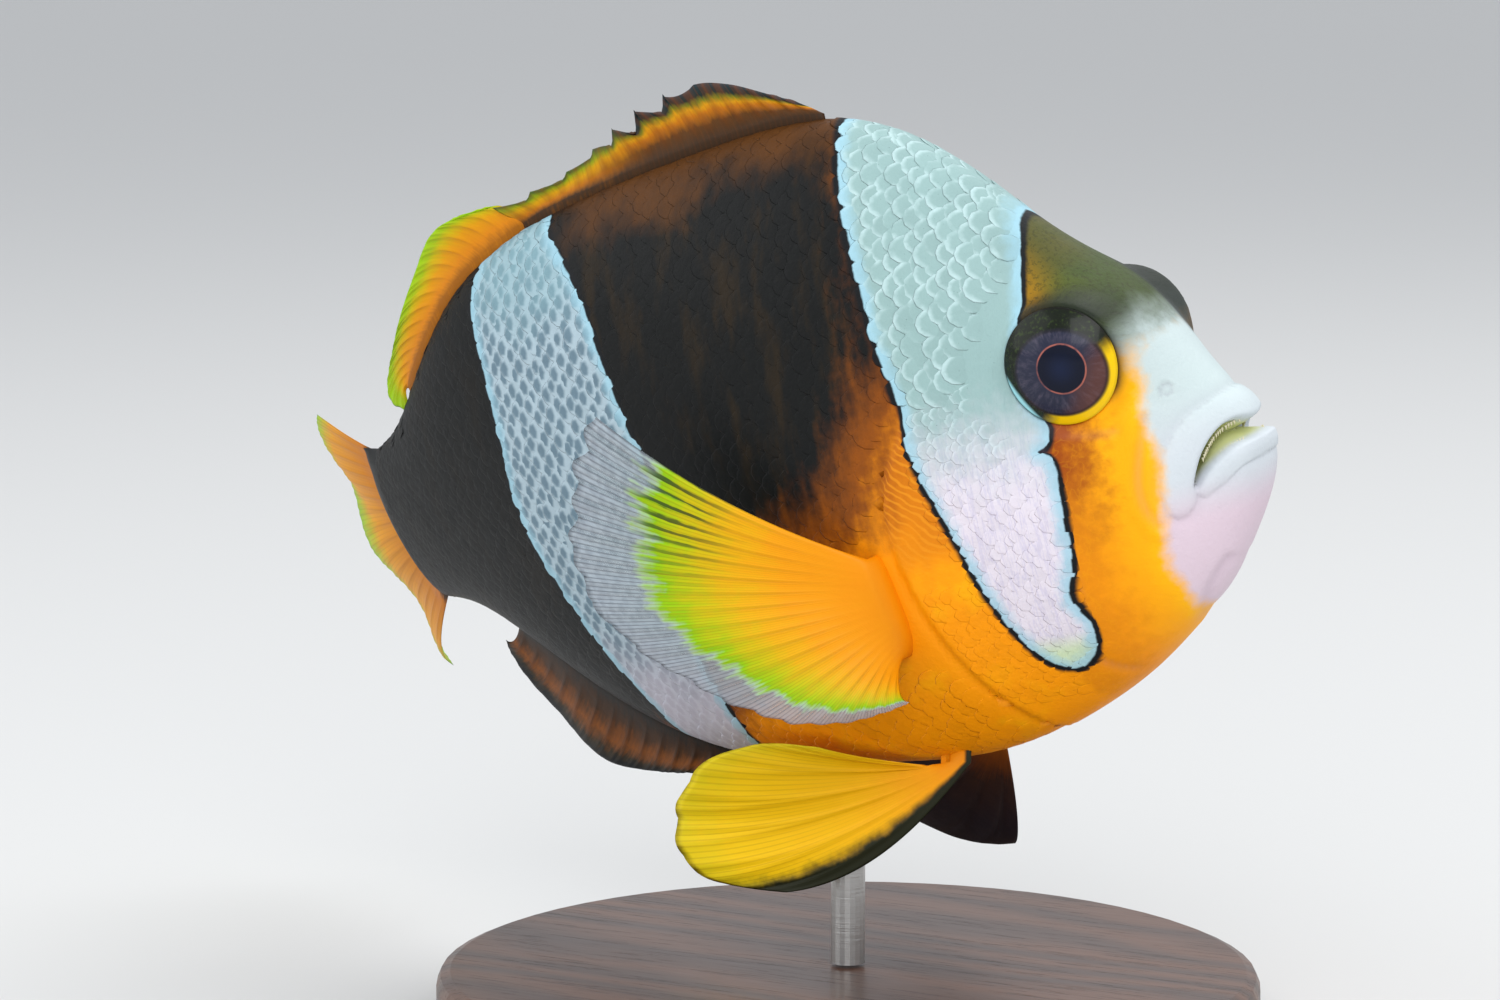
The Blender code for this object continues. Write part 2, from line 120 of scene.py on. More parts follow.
@dataclass
class Pose:
    """How the straight fish bends, twists, leans and tilts as it swims."""

    nose_up: float = radians(10.0)
    lean: float = radians(7.5)
    lean_axis: float = -25.7
    flex_from: float = 30.0
    tail_base: float = 100.0
    bend: float = radians(33.0)
    bend_power: float = 1.9
    twist: float = radians(16.5)
    twist_power: float = 1.4
    pivot: float = 43.8
    pivot_height: float = 50.0
    length: float = 135.0
    steps: int = 540

    def __post_init__(self) -> None:
        """Work out where bending takes the straight spine."""
        self.along = np.linspace(-10.0, self.length, self.steps + 1)
        heading = self.flex((self.along[1:] + self.along[:-1]) / 2, self.bend, self.bend_power)
        pitch = np.diff(self.along)
        x = -np.concatenate(([0.0], np.cumsum(np.cos(heading) * pitch)))
        y = np.concatenate(([0.0], np.cumsum(np.sin(heading) * pitch)))
        self.x = x - np.interp(self.pivot, self.along, x)
        self.y = y - np.interp(self.pivot, self.along, y)

    def flex(self, u: Array, amount: float, power: float) -> Array:
        """How far the spine has turned by u, in radians."""
        share = np.clip((u - self.flex_from) / (self.tail_base - self.flex_from), 0, None)
        return amount * share ** power

    def place(self, points: Array) -> Array:
        """Bend points of the straight fish into the pose.

        Args:
            points: Points (u, v, w) in millimetres, on the last axis.

        Returns:
            The points in the frame of the solids, in metres.
        """
        u, v, w = np.moveaxis(points, -1, 0)
        twist = self.flex(np.minimum(u, self.length), self.twist, self.twist_power)
        heading = self.flex(u, self.bend, self.bend_power)
        side = v * np.cos(twist) - w * np.sin(twist)
        z = v * np.sin(twist) + w * np.cos(twist)
        x = np.interp(u, self.along, self.x) + side * np.sin(heading)
        y = np.interp(u, self.along, self.y) + side * np.cos(heading)
        up = z - self.lean_axis
        y, z = (y * cos(self.lean) - up * sin(self.lean),
                y * sin(self.lean) + up * cos(self.lean) + self.lean_axis)
        x, z = (x * cos(self.nose_up) - z * sin(self.nose_up),
                x * sin(self.nose_up) + z * cos(self.nose_up))
        return np.stack((x, y, z + self.pivot_height), -1) * MM


@dataclass
class Body:
    """The shape of the straight body, before any relief."""

    sections: tuple = (
        (2.7, -1.4, 2.7, -1.4, 0.0),
        (3.1, 1.2, 2.9, -4.2, 2.8),
        (4.8, 3.5, 4.0, -7.0, 4.0),
        (7.1, 6.8, 6.0, -10.1, 5.0),
        (9.8, 10.9, 8.8, -13.6, 6.3),
        (13.5, 14.8, 13.2, -17.3, 7.9),
        (19.2, 19.5, 19.0, -21.1, 9.3),
        (27.0, 26.4, 27.0, -24.3, 10.5),
        (37.0, 30.5, 36.0, -25.9, 10.9),
        (50.0, 29.5, 49.0, -25.7, 10.0),
        (63.0, 26.9, 61.0, -24.3, 7.8),
        (75.0, 22.3, 73.0, -20.1, 5.4),
        (84.0, 15.4, 84.0, -14.0, 3.7),
        (92.0, 8.8, 92.0, -10.7, 2.8),
        (98.8, 5.8, 99.6, -10.5, 2.3),
    )
    widest: float = 0.48
    back_fullness: float = 1.12
    belly_fullness: float = 0.92
    orbit: tuple[float, float] = (12.2, 12.0)
    orbit_size: float = 3.4
    orbit_swell: float = 0.7
    halvings: int = 30

    def __post_init__(self) -> None:
        """Draw smooth edges through the sections."""
        self.last = len(self.sections) - 1
        self.row = Curve(np.arange(self.last + 1), self.sections)

    def place_in(self, row: Array, w: Array) -> Array:
        """Position u along the fish of a slanted section's row at level w."""
        top, bottom = row[..., 1], row[..., 3]
        tall = np.where(top - bottom > MERGE, top - bottom, 1.0)
        share = np.where(top - bottom > MERGE, np.clip((w - bottom) / tall, 0, 1), 0.5)
        return row[..., 2] + share * (row[..., 0] - row[..., 2])

    def width_in(self, row: Array, w: Array) -> Array:
        """Half width of a section's row at level w, with the swelling round the eyes."""
        top, bottom = row[..., 1], row[..., 3]
        middle = bottom + (top - bottom) * self.widest
        reach = np.where(w > middle, top - middle, bottom - middle)
        level = np.clip((w - middle) / np.where(np.abs(reach) > MERGE, reach, 1.0), 0, 1)
        power = np.where(w > middle, self.back_fullness, self.belly_fullness)
        u = self.place_in(row, w)
        away = ((u - self.orbit[0]) ** 2 + (w - self.orbit[1]) ** 2) / self.orbit_size ** 2
        swell = 1 + self.orbit_swell * np.exp(-away / 2)
        return row[..., 4] * (1 - level ** 2) ** (power / 2) * swell

    def point(self, section: Array, angle: Array) -> Array:
        """Points (u, v, w) of the surface; angle 0 is the left flank, pi/2 the back."""
        row = self.row(np.clip(section, 0, self.last))
        top, bottom = row[..., 1], row[..., 3]
        middle = bottom + (top - bottom) * self.widest
        rise = np.sin(angle)
        w = middle + rise * np.where(rise > 0, top - middle, middle - bottom)
        v = self.width_in(row, w) * np.where(np.cos(angle) >= 0, 1, -1)
        return np.stack((self.place_in(row, w), v, w), -1)

    def halve(self, u: Array, place: Callable[[Array], Array], low: float) -> Array:
        """The section at which place() reaches u, found by halving."""
        low = np.full(np.shape(u), low)
        high = np.full(np.shape(u), float(self.last))
        for _ in range(self.halvings):
            middle = (low + high) / 2
            short = place(middle) < u
            low, high = np.where(short, middle, low), np.where(short, high, middle)
        return (low + high) / 2

    def flank(self, u: Array, w: Array) -> Array:
        """Half width of the body at u and w."""
        section = self.halve(u, lambda s: self.place_in(self.row(s), w), 1.0)
        return self.width_in(self.row(section), w)

    def back(self, u: Array) -> Array:
        """Level of the back at u."""
        return self.row(self.halve(u, lambda s: self.row(s)[..., 0], 0.0))[..., 1]

    def belly(self, u: Array) -> Array:
        """Level of the belly at u."""
        return self.row(self.halve(u, lambda s: self.row(s)[..., 2], 0.0))[..., 3]


@dataclass
class Line:
    """A smooth line drawn on the side of the fish through points (u, w)."""

    points: Pairs
    closed: bool = False
    step: float = 0.5
    batch: int = 20000

    def __post_init__(self) -> None:
        """Draw the line through its points."""
        knots = np.array(self.points + self.points[:1] if self.closed else self.points, float)
        along = np.concatenate(([0.0], np.cumsum(np.hypot(*np.diff(knots, axis=0).T))))
        places = np.linspace(0, along[-1], int(along[-1] / self.step) + 2)
        self.path = Curve(along, knots)(places)

    def side(self, u: Array, w: Array, reach: float = 12.0) -> Array:
        """How far points lie from the line.

        Args:
            u: Positions along the fish.
            w: Levels.
            reach: The largest distance that is told apart.

        Returns:
            The distances, above 0 inside a closed line or ahead of one drawn downward.
        """
        flat = np.stack((np.ravel(u), np.ravel(w)), -1)
        ahead = np.where(flat[:, 0] < self.path[:, 0].mean(), reach, -reach)
        result = np.full(len(flat), -reach) if self.closed else ahead
        within = (flat > self.path.min(0) - reach) & (flat < self.path.max(0) + reach)
        near = np.flatnonzero(within.all(1))
        starts, legs = self.path[:-1], np.diff(self.path, axis=0)
        squares = (legs ** 2).sum(-1)
        for some in np.array_split(near, len(near) // self.batch + 1):
            offset = flat[some][:, None] - starts
            share = np.clip((offset * legs).sum(-1) / squares, 0, 1)
            gap = ((offset - share[..., None] * legs) ** 2).sum(-1)
            nearest = (np.arange(len(some)), gap.argmin(1))
            turn = legs[:, 1] * offset[..., 0] - legs[:, 0] * offset[..., 1]
            if self.closed:
                above = offset[..., 1] >= 0
                crosses = above != (offset[..., 1] >= legs[:, 1])
                ahead = (turn < 0) == (legs[:, 1] > 0)
                sign = np.where((crosses & ahead).sum(1) % 2 == 1, 1, -1)
            else:
                sign = np.where(turn[nearest] > 0, 1, -1)
            result[some] = sign * np.minimum(np.sqrt(gap[nearest]), reach)
        return result.reshape(np.shape(u))


def drawn(points: Pairs, closed: bool = False, step: float = 0.5) -> Line:
    """A field of a dataclass that holds a line through points."""
    return field(default_factory=lambda: Line(points, closed, step))


@dataclass
class Markings:
    """The lines that divide the fish's colours, all in (u, w)."""

    body: Body
    head_bar: Line = drawn((
        (20.7, 24.0), (20.2, 21.0), (19.5, 18.5), (18.9, 15.0), (18.8, 11.5), (19.5, 8.2),
        (19.2, 5.9), (17.9, 3.4), (17.9, 1.9), (18.9, 1.5), (18.2, 1.0), (17.6, -1.0),
        (17.7, -3.5), (17.9, -6.0), (18.3, -8.8), (19.1, -11.4), (18.3, -13.4), (18.4, -15.4),
        (19.5, -17.1), (21.0, -17.6), (22.4, -16.9), (23.7, -15.2), (25.8, -10.3), (27.6, -3.9),
        (29.6, 3.6), (29.9, 7.8), (30.9, 11.6), (31.9, 17.0), (33.3, 24.1), (34.5, 30.0),
        (35.4, 35.0), (28.0, 34.0),
    ), closed=True)
    body_bar: Line = drawn((
        (63.5, 30.5), (64.2, 26.8), (61.2, 22.2), (58.7, 16.0), (57.0, 9.6), (55.4, 4.5),
        (54.9, -1.0), (55.4, -6.0), (56.5, -12.3), (56.0, -18.0), (55.3, -22.0), (54.8, -27.5),
        (64.6, -27.5), (65.4, -22.6), (68.3, -14.8), (71.8, -6.4), (73.6, 0.8), (73.1, 8.1),
        (73.2, 15.0), (73.6, 18.9), (73.5, 21.4), (72.3, 23.7), (69.8, 25.9), (66.4, 29.5),
    ), closed=True)
    white_face: Line = drawn((
        (8.4, 20.0), (8.7, 13.5), (9.4, 11.0), (10.0, 8.8), (10.0, 7.1), (9.8, 4.8),
        (10.0, 2.1), (9.5, 0.2), (9.6, -3.0), (10.1, -6.0), (10.9, -9.0), (10.6, -11.6),
        (10.2, -14.8), (9.6, -20.0),
    ))
    warm_edge: Line = drawn((
        (30.0, 40.0), (28.5, 27.0), (27.5, 16.0), (27.6, 10.5), (29.6, 7.2), (32.2, 3.0),
        (35.6, -1.5), (41.5, -5.5), (46.0, -9.5), (50.5, -14.0), (55.0, -18.5), (60.0, -22.5),
        (66.0, -27.0),
    ))
    gill_edge: Line = drawn((
        (29.0, 11.0), (29.4, 7.4), (30.6, 4.1), (32.4, 1.0), (33.2, -4.0), (32.6, -8.5),
        (31.5, -12.5), (29.3, -17.5), (26.6, -21.8),
    ))
    bar_middle: Line = drawn((
        (28.2, 35.0), (26.0, 20.0), (24.8, 8.0), (22.8, -5.0), (21.0, -16.0), (20.8, -28.0),
    ))
    half: float = 45.0
    gill_reach: float = 8.0

    def gill_side(self, u: Array, w: Array) -> Array:
        """How far points lie ahead of the gill cover's edge."""
        return self.gill_edge.side(u, w, self.gill_reach)

    def paint(self, mesh: bpy.types.Mesh, points: Array, roots: Array) -> None:
        """Write the distances to the colours' edges on a mesh.

        Args:
            mesh: The mesh to write on.
            points: Its vertices, as points of the straight fish.
            roots: Points whose place among the white bars counts for each vertex.
        """
        u, _, w = points.T
        root_u, _, root_w = roots.T
        bars = np.maximum(self.head_bar.side(root_u, root_w), self.body_bar.side(root_u, root_w))
        write(mesh, "fish", points)
        write(mesh, "bar", bars)
        write(mesh, "front", (root_u < self.half).astype(float))
        write(mesh, "face", self.white_face.side(u, w))
        write(mesh, "warm", self.warm_edge.side(u, w))
        write(mesh, "gill", self.gill_side(u, w))
        write(mesh, "ahead", self.bar_middle.side(u, w))
        write(mesh, "depth", self.body.back(u) - w)


def write(mesh: bpy.types.Mesh, name: str, values: Array) -> None:
    """Write numbers, or points, on the vertices of a mesh as an attribute."""
    values = np.asarray(values, np.float32)
    vector = values.ndim == 2
    attribute = mesh.attributes.new(name, "FLOAT_VECTOR" if vector else "FLOAT", "POINT")
    attribute.data.foreach_set("vector" if vector else "value", values.ravel())


def take_points(mesh: bpy.types.Mesh, name: str) -> Array:
    """Read the points written on the vertices of a mesh, and remove their attribute."""
    values = np.empty(len(mesh.vertices) * 3, np.float32)
    mesh.attributes[name].data.foreach_get("vector", values)
    mesh.attributes.remove(mesh.attributes[name])
    return values.reshape(-1, 3).astype(float)


# The upper edge of the open mouth, which the upper lip follows.
GAPE: Pairs = ((1.2, 0.1), (2.6, 0.25), (3.3, 0.85), (4.1, 0.85), (4.9, 0.35), (5.8, -0.7),
               (6.6, -2.2), (7.1, -3.8))


@dataclass
class Relief:
    """Folds, lips, gill cover and eye sockets, raised on the plain body.

    A pad has a height and the width of its rounded edge, a groove its depth and width,
    and a bead its height, how far it lies from its line, and its width.
    """

    mouth: Line = drawn(GAPE + (
        (6.5, -3.1), (5.4, -2.1), (4.2, -1.3), (2.9, -0.85), (1.2, -0.65),
    ), closed=True, step=0.25)
    upper_lip: Line = drawn(GAPE + (
        (7.5, -5.0), (8.3, -5.9), (9.2, -6.0), (9.8, -5.0),
        (9.8, -3.4), (9.4, -1.7), (8.7, -0.1), (7.7, 1.4), (6.4, 2.4), (5.2, 3.0),
        (4.2, 3.5), (2.6, 4.4),
    ), closed=True, step=0.25)
    lower_lip: Line = drawn((
        (1.2, -0.7), (2.9, -0.85), (4.2, -1.3), (5.4, -2.1), (6.5, -3.1), (7.2, -3.9),
        (7.0, -4.7), (6.0, -4.4), (4.6, -3.6), (3.0, -2.6), (1.2, -2.2),
    ), closed=True, step=0.25)
    cheek_fold: Line = drawn((
        (10.1, 2.6), (10.5, 0.9), (11.1, -1.3), (11.4, -3.4), (11.2, -5.0), (10.6, -6.4),
    ), step=0.25)
    chin_fold: Line = drawn((
        (6.9, -10.6), (8.5, -12.3), (10.0, -14.2), (11.4, -16.2),
    ), step=0.3)
    orbit_fold: Line = drawn((
        (12.4, 2.0), (14.2, 2.1), (16.6, 2.6), (18.4, 3.4),
    ), step=0.3)
    cheek_edge: Line = drawn((
        (18.6, 2.6), (18.2, 1.0), (17.7, -3.5), (18.2, -8.8), (18.6, -13.4), (19.0, -17.0),
        (17.0, -19.0),
    ), step=0.4)
    nostril: Span = (8.3, 4.5)
    nostril_ring: float = 0.42
    nostril_reach: float = 0.1
    upper_pad: Span = (0.38, 1.7)
    lower_pad: Span = (0.22, 1.5)
    upper_groove: Span = (0.12, 0.7)
    lower_groove: Span = (0.07, 0.4)
    cheek_groove: Span = (0.18, 0.32)
    chin_groove: Span = (0.22, 0.35)
    orbit_groove: Span = (0.12, 0.3)
    edge_groove: Span = (0.14, 0.3)
    nostril_pit: Span = (0.25, 0.28)
    cheek_beads: Triples = ((0.2, -0.7, 0.5), (0.14, 0.75, 0.45))
    nostril_bead: tuple[float, float, float] = (0.06, 0.12, 0.18)
    deepest: float = 0.24
    gill_step: float = 0.34
    gill_rise: Span = (-0.12, 0.14)
    gill_thins: float = 4.0
    gill_slit_at: float = 0.45
    gill_slit: Span = (0.16, 0.4)
    gill_top: Span = (3.5, 9.0)
    inset: float = 0.15
    eye_at: tuple[float, float, float] = (15.7, 7.9, 8.1)
    eye_radius: float = 4.9
    toe_in: float = radians(6.0)
    socket_rim: float = -0.15
    socket_fade: Span = (0.25, 1.0)
    socket_wall: Span = (0.05, -1.2)
    socket_depth: float = 1.5
    mouth_edge: Span = (-0.3, 0.8)
    mouth_depth: float = 3.0
    mouth_narrowing: float = 0.6

    @staticmethod
    def pad(inside: Array, height: float, edge: float) -> Array:
        """A raised pad with a rounded edge of a width, from distances inside its outline."""
        return height * np.sqrt(1 - (1 - np.clip(inside / edge, 0, 1)) ** 2)

    @staticmethod
    def groove(away: Array, depth: float, width: float) -> Array:
        """A groove along a line, from distances to the line."""
        return -depth * np.exp(-(away / width) ** 2)

    @staticmethod
    def bead(away: Array, height: float, offset: float, width: float) -> Array:
        """A low bead beside a line, from distances to the line."""
        return height * np.exp(-((away - offset) / width) ** 2)

    def eye_distance(self, points: Array) -> Array:
        """Distance from the middle of the eye, seen from the side."""
        return np.hypot(points[..., 0] - self.eye_at[0], points[..., 2] - self.eye_at[2])

    def gill_height(self, points: Array, markings: Markings) -> Array:
        """How far the gill cover stands over the body behind it."""
        gill = markings.gill_side(points[..., 0], points[..., 2])
        thinning = np.exp(-np.clip(gill, 0, None) / self.gill_thins)
        cover = self.gill_step * smooth(gill, *self.gill_rise) * thinning
        fade = 1 - smooth(points[..., 2], *self.gill_top)
        return (cover + self.groove(gill + self.gill_slit_at, *self.gill_slit)) * fade

    def folds(self, points: Array) -> tuple[Array, Array]:
        """Heights of the lips and the folds of the face, and how much painted shade each groove of
        the face gets, from how deep it is.
        """
        u, w = points[..., 0], points[..., 2]
        upper, lower = self.upper_lip.side(u, w), self.lower_lip.side(u, w)
        lips = self.pad(upper, *self.upper_pad) + self.pad(lower, *self.lower_pad)
        ridge = self.cheek_fold.side(u, w)
        ring = np.hypot(u - self.nostril[0], w - self.nostril[1]) - self.nostril_ring
        pit = self.groove(np.minimum(ring, 0) - self.nostril_reach, *self.nostril_pit)
        creases = (
            self.groove(np.minimum(upper, 0), *self.upper_groove) * (upper < 0),
            self.groove(np.minimum(lower, 0), *self.lower_groove) * (lower < 0),
            self.groove(ridge, *self.cheek_groove),
            self.groove(self.chin_fold.side(u, w), *self.chin_groove),
            self.groove(self.orbit_fold.side(u, w), *self.orbit_groove),
            self.groove(self.cheek_edge.side(u, w), *self.edge_groove),
            pit * (ring < self.nostril_reach),
        )
        beads = [self.bead(ridge, *bead) for bead in self.cheek_beads]
        beads.append(self.bead(ring, *self.nostril_bead))
        crease = np.clip(-sum(creases) / self.deepest, 0, 1)
        return lips + sum(creases) + sum(beads), crease

    def shape(self, points: Array, normals: Array, markings: Markings) -> tuple[Array, dict]:
        """Raise the folds of the skin.

        Args:
            points: Points (u, v, w) of the plain body.
            normals: Outward directions there.
            markings: The lines that the gill cover follows.

        Returns:
            The raised points, and values to paint: mouth, the share of painted shade in the grooves
                of the face, and eye.
        """
        height, crease = self.folds(points)
        height = height + self.gill_height(points, markings) - self.inset
        eye = self.eye_distance(points)
        raised = points + normals * height[..., None]
        side = np.where(points[..., 1] >= 0, 1, -1)
        plane = self.eye_at[1] + (points[..., 0] - self.eye_at[0]) * tan(self.toe_in)
        rim = 1 - smooth(eye, *(self.eye_radius + gap for gap in self.socket_fade))
        under = smooth(eye, *(self.eye_radius + gap for gap in self.socket_wall))
        target = plane + self.socket_rim - self.socket_depth * under
        raised[..., 1] += rim * (side * target - raised[..., 1])
        gape = self.mouth.side(points[..., 0], points[..., 2])
        mouth = smooth(gape, *self.mouth_edge)
        raised[..., 0] += self.mouth_depth * mouth
        raised[..., 1] *= 1 - self.mouth_narrowing * mouth
        return raised, {"mouth": mouth, "crease": crease, "eye": eye}


POSE = Pose()
BODY = Body()
MARKINGS = Markings(BODY)
RELIEF = Relief()


def normals_of(points: Array) -> Array:
    """Unit directions across a grid of points, from the steps along its two axes."""
    across = np.cross(np.gradient(points, axis=1), np.gradient(points, axis=0))
    length = np.linalg.norm(across, axis=-1, keepdims=True)
    return across / np.where(length > MERGE, length, 1.0)


def select(things: list[bpy.types.Object]) -> None:
    """Select some pieces and nothing else, with the first active; none clears the choice."""
    bpy.ops.object.select_all(action="DESELECT")
    for thing in things:
        thing.select_set(True)
    if things:
        bpy.context.view_layer.objects.active = things[0]


def finish_shell(thing: bpy.types.Object) -> None:
    """Merge what meets, turn the faces outward and shade them smooth."""
    bpy.ops.object.mode_set(mode="EDIT")
    bpy.ops.mesh.select_all(action="SELECT")
    bpy.ops.mesh.remove_doubles(threshold=MERGE)
    bpy.ops.mesh.normals_make_consistent(inside=False)
    bpy.ops.object.mode_set(mode="OBJECT")
    bpy.ops.object.shade_smooth()
    log.info("%s: %d faces", thing.name, len(thing.data.polygons))


@dataclass
class Tile:
    """A rectangle of the baked map that one shell's own grid fills."""

    left: float
    bottom: float
    width: float
    height: float


def shell(name: str, points: Array, values: dict[str, Array], tile: Tile) -> bpy.types.Object:
    """Bend a grid into a closed shell.

    Args:
        name: The piece's name.
        points: Rows of points of the straight fish; where they coincide they merge.
        values: Numbers or points to write on the vertices, each shaped as the rows.
        tile: Where the grid goes on the baked map.

    Returns:
        The shell, placed in the pose.
    """
    rows, columns = points.shape[:2]
    select([])
    bpy.ops.mesh.primitive_grid_add(x_subdivisions=columns - 1, y_subdivisions=rows - 1, size=1)
    thing = bpy.context.object
    thing.name = name
    mesh = thing.data
    mesh.name = name
    mesh.vertices.foreach_set("co", POSE.place(points).ravel())
    layer = mesh.uv_layers[0]
    layer.name = "OFBake"
    places = np.empty(len(layer.uv) * 2, np.float32)
    layer.uv.foreach_get("vector", places)
    places = places.reshape(-1, 2) * (tile.width, tile.height) + (tile.left, tile.bottom)
    layer.uv.foreach_set("vector", places.astype(np.float32).ravel())
    for label, numbers in values.items():
        write(mesh, label, numbers.reshape(rows * columns, *numbers.shape[2:]))
    finish_shell(thing)
    return thing


class Socket:
    """A value in a shader, with the usual operators between values and numbers."""

    def __init__(self, paint: "Paint", link: bpy.types.NodeSocket) -> None:
        """Wrap a node's output."""
        self.paint = paint
        self.link = link

    def __add__(self, other: "Socket | float") -> "Socket":
        """The sum."""
        return self.paint.math("ADD", self, other)

    def __sub__(self, other: "Socket | float") -> "Socket":
        """The difference."""
        return self.paint.math("SUBTRACT", self, other)

    def __mul__(self, other: "Socket | float") -> "Socket":
        """The product."""
        return self.paint.math("MULTIPLY", self, other)

    def __truediv__(self, other: "Socket | float") -> "Socket":
        """The quotient."""
        return self.paint.math("DIVIDE", self, other)

    def __rsub__(self, other: float) -> "Socket":
        """A number less the value."""
        return self.paint.math("SUBTRACT", other, self)

    __radd__ = __add__

    def swing(self, amount: "Socket | float") -> "Socket":
        """How far a value of 0 to 1 lies from its middle, times an amount."""
        return (self - 0.5) * amount


Value = Socket | float
Colour = tuple[float, float, float]


def srgb(red: int, green: int, blue: int) -> Colour:
    """A screen colour of 0 to 255 as the linear colour that shaders take."""
    parts = (part / 255 for part in (red, green, blue))
    return tuple(p / 12.92 if p <= 0.04045 else ((p + 0.055) / 1.055) ** 2.4 for p in parts)


class Paint:
    """A material being painted: nodes come from node(), and maths from operators."""

    def __init__(self, name: str) -> None:
        """Start a material with one Principled shader."""
        self.material = bpy.data.materials.new(name)
        self.material.use_nodes = True
        self.tree = self.material.node_tree
        self.shader = self.tree.nodes["Principled BSDF"]

    def node(self, kind: str, settings: dict | None = None, **inputs: object) -> bpy.types.Node:
        """Add a node.

        Args:
            kind: The node's type.
            settings: Its properties, set before its sockets.
            inputs: Values or links of its sockets, with _ for a space, or i0, i1 by number.

        Returns:
            The node.
        """
        made = self.tree.nodes.new(kind)
        for key, value in (settings or {}).items():
            setattr(made, key, value)
        for key, value in inputs.items():
            by_number = key[0] == "i" and key[1:].isdigit()
            target = made.inputs[int(key[1:]) if by_number else key.replace("_", " ")]
            self.feed(target, value)
        return made

    def feed(self, target: bpy.types.NodeSocket, value: object) -> None:
        """Link a value to a socket, or set it there."""
        if isinstance(value, Socket):
            self.tree.links.new(value.link, target)
        elif isinstance(value, tuple) and target.type == "RGBA":
            target.default_value = (*value, 1.0)
        else:
            target.default_value = value

    def set(self, **inputs: object) -> None:
        """Feed the Principled shader's sockets, with _ for a space."""
        for key, value in inputs.items():
            self.feed(self.shader.inputs[key.replace("_", " ")], value)

    def math(self, operation: str, *values: Value) -> Socket:
        """A Math node's result."""
        settings = {"operation": operation}
        inputs = {f"i{i}": value for i, value in enumerate(values)}
        return Socket(self, self.node("ShaderNodeMath", settings, **inputs).outputs[0])

    def read(self, name: str) -> Socket:
        """A number written on the vertices."""
        made = self.node("ShaderNodeAttribute", {"attribute_name": name})
        return Socket(self, made.outputs["Fac"])

    def read_point(self, name: str) -> Socket:
        """A point written on the vertices."""
        made = self.node("ShaderNodeAttribute", {"attribute_name": name})
        return Socket(self, made.outputs["Vector"])

    def here(self) -> Socket:
        """The place in the piece's own coordinates, in metres."""
        return Socket(self, self.node("ShaderNodeTexCoord").outputs["Object"])

    def parts(self, point: Socket) -> tuple[Socket, Socket, Socket]:
        """The three parts of a point."""
        made = self.node("ShaderNodeSeparateXYZ", i0=point)
        return tuple(Socket(self, out) for out in made.outputs)

    def point(self, x: Value, y: Value, z: Value) -> Socket:
        """A point of three parts."""
        return Socket(self, self.node("ShaderNodeCombineXYZ", i0=x, i1=y, i2=z).outputs[0])

    def step(self, value: Value, low: float, high: float) -> Socket:
        """A smooth step of a value, 0 at low and 1 at high, with low below high."""
        made = self.node("ShaderNodeMapRange", {"interpolation_type": "SMOOTHSTEP"},
                         i0=value, i1=low, i2=high)
        return Socket(self, made.outputs[0])

    def fall(self, value: Value, low: float, high: float) -> Socket:
        """A smooth fall of a value, 1 at low and 0 at high."""
        return 1 - self.step(value, low, high)

    def close(self, value: Socket, inner: float, outer: float) -> Socket:
        """1 where a value is within inner of 0, falling to 0 at outer."""
        return self.fall(self.math("ABSOLUTE", value), inner, outer)

    def reach(self, x: Socket, y: Socket) -> Socket:
        """The distance of a flat place from 0."""
        return self.math("SQRT", x * x + y * y)

    def mix(self, under: object, over: object, share: Value, blend: str = "MIX") -> Socket:
        """One colour over another."""
        made = self.node("ShaderNodeMix", {"data_type": "RGBA", "blend_type": blend},
                         i0=share, i6=under, i7=over)
        return Socket(self, made.outputs[2])

    def layers(self, under: object, *coats: tuple[object, Value]) -> Socket:
        """Colours laid over one another in turn, each with the share that it covers."""
        for over, share in coats:
            under = self.mix(under, over, share)
        return under

    def noise(self, where: Socket, scale: float, detail: float = 3.0, rough: float = 0.55) -> Socket:
        """Soft noise, 0 to 1, of a scale in turns of the place's unit."""
        made = self.node("ShaderNodeTexNoise", Vector=where, Scale=scale, Detail=detail,
                         Roughness=rough)
        return Socket(self, made.outputs["Fac"])

    def ramp(self, value: Value, stops: tuple) -> Socket:
        """Colours along a value, from stops of a place and a colour."""
        made = self.node("ShaderNodeValToRGB", i0=value)
        band = made.color_ramp
        while len(band.elements) < len(stops):
            band.elements.new(1.0)
        for element, (place, colour) in zip(band.elements, stops):
            element.position = place
            element.color = (*colour, 1.0)
        return Socket(self, made.outputs["Color"])

    def film(self) -> None:
        """The thin wet film on skin, scales and fins."""
        self.set(Specular_IOR_Level=0.16, Coat_Weight=0.03, Coat_Roughness=0.2)

    def bump(self, height: Value, depth: float) -> None:
        """Raise a height of 0 to 1 by a depth in metres."""
        made = self.node("ShaderNodeBump", Height=height, Distance=depth, Strength=1.0)
        self.set(Normal=Socket(self, made.outputs[0]))


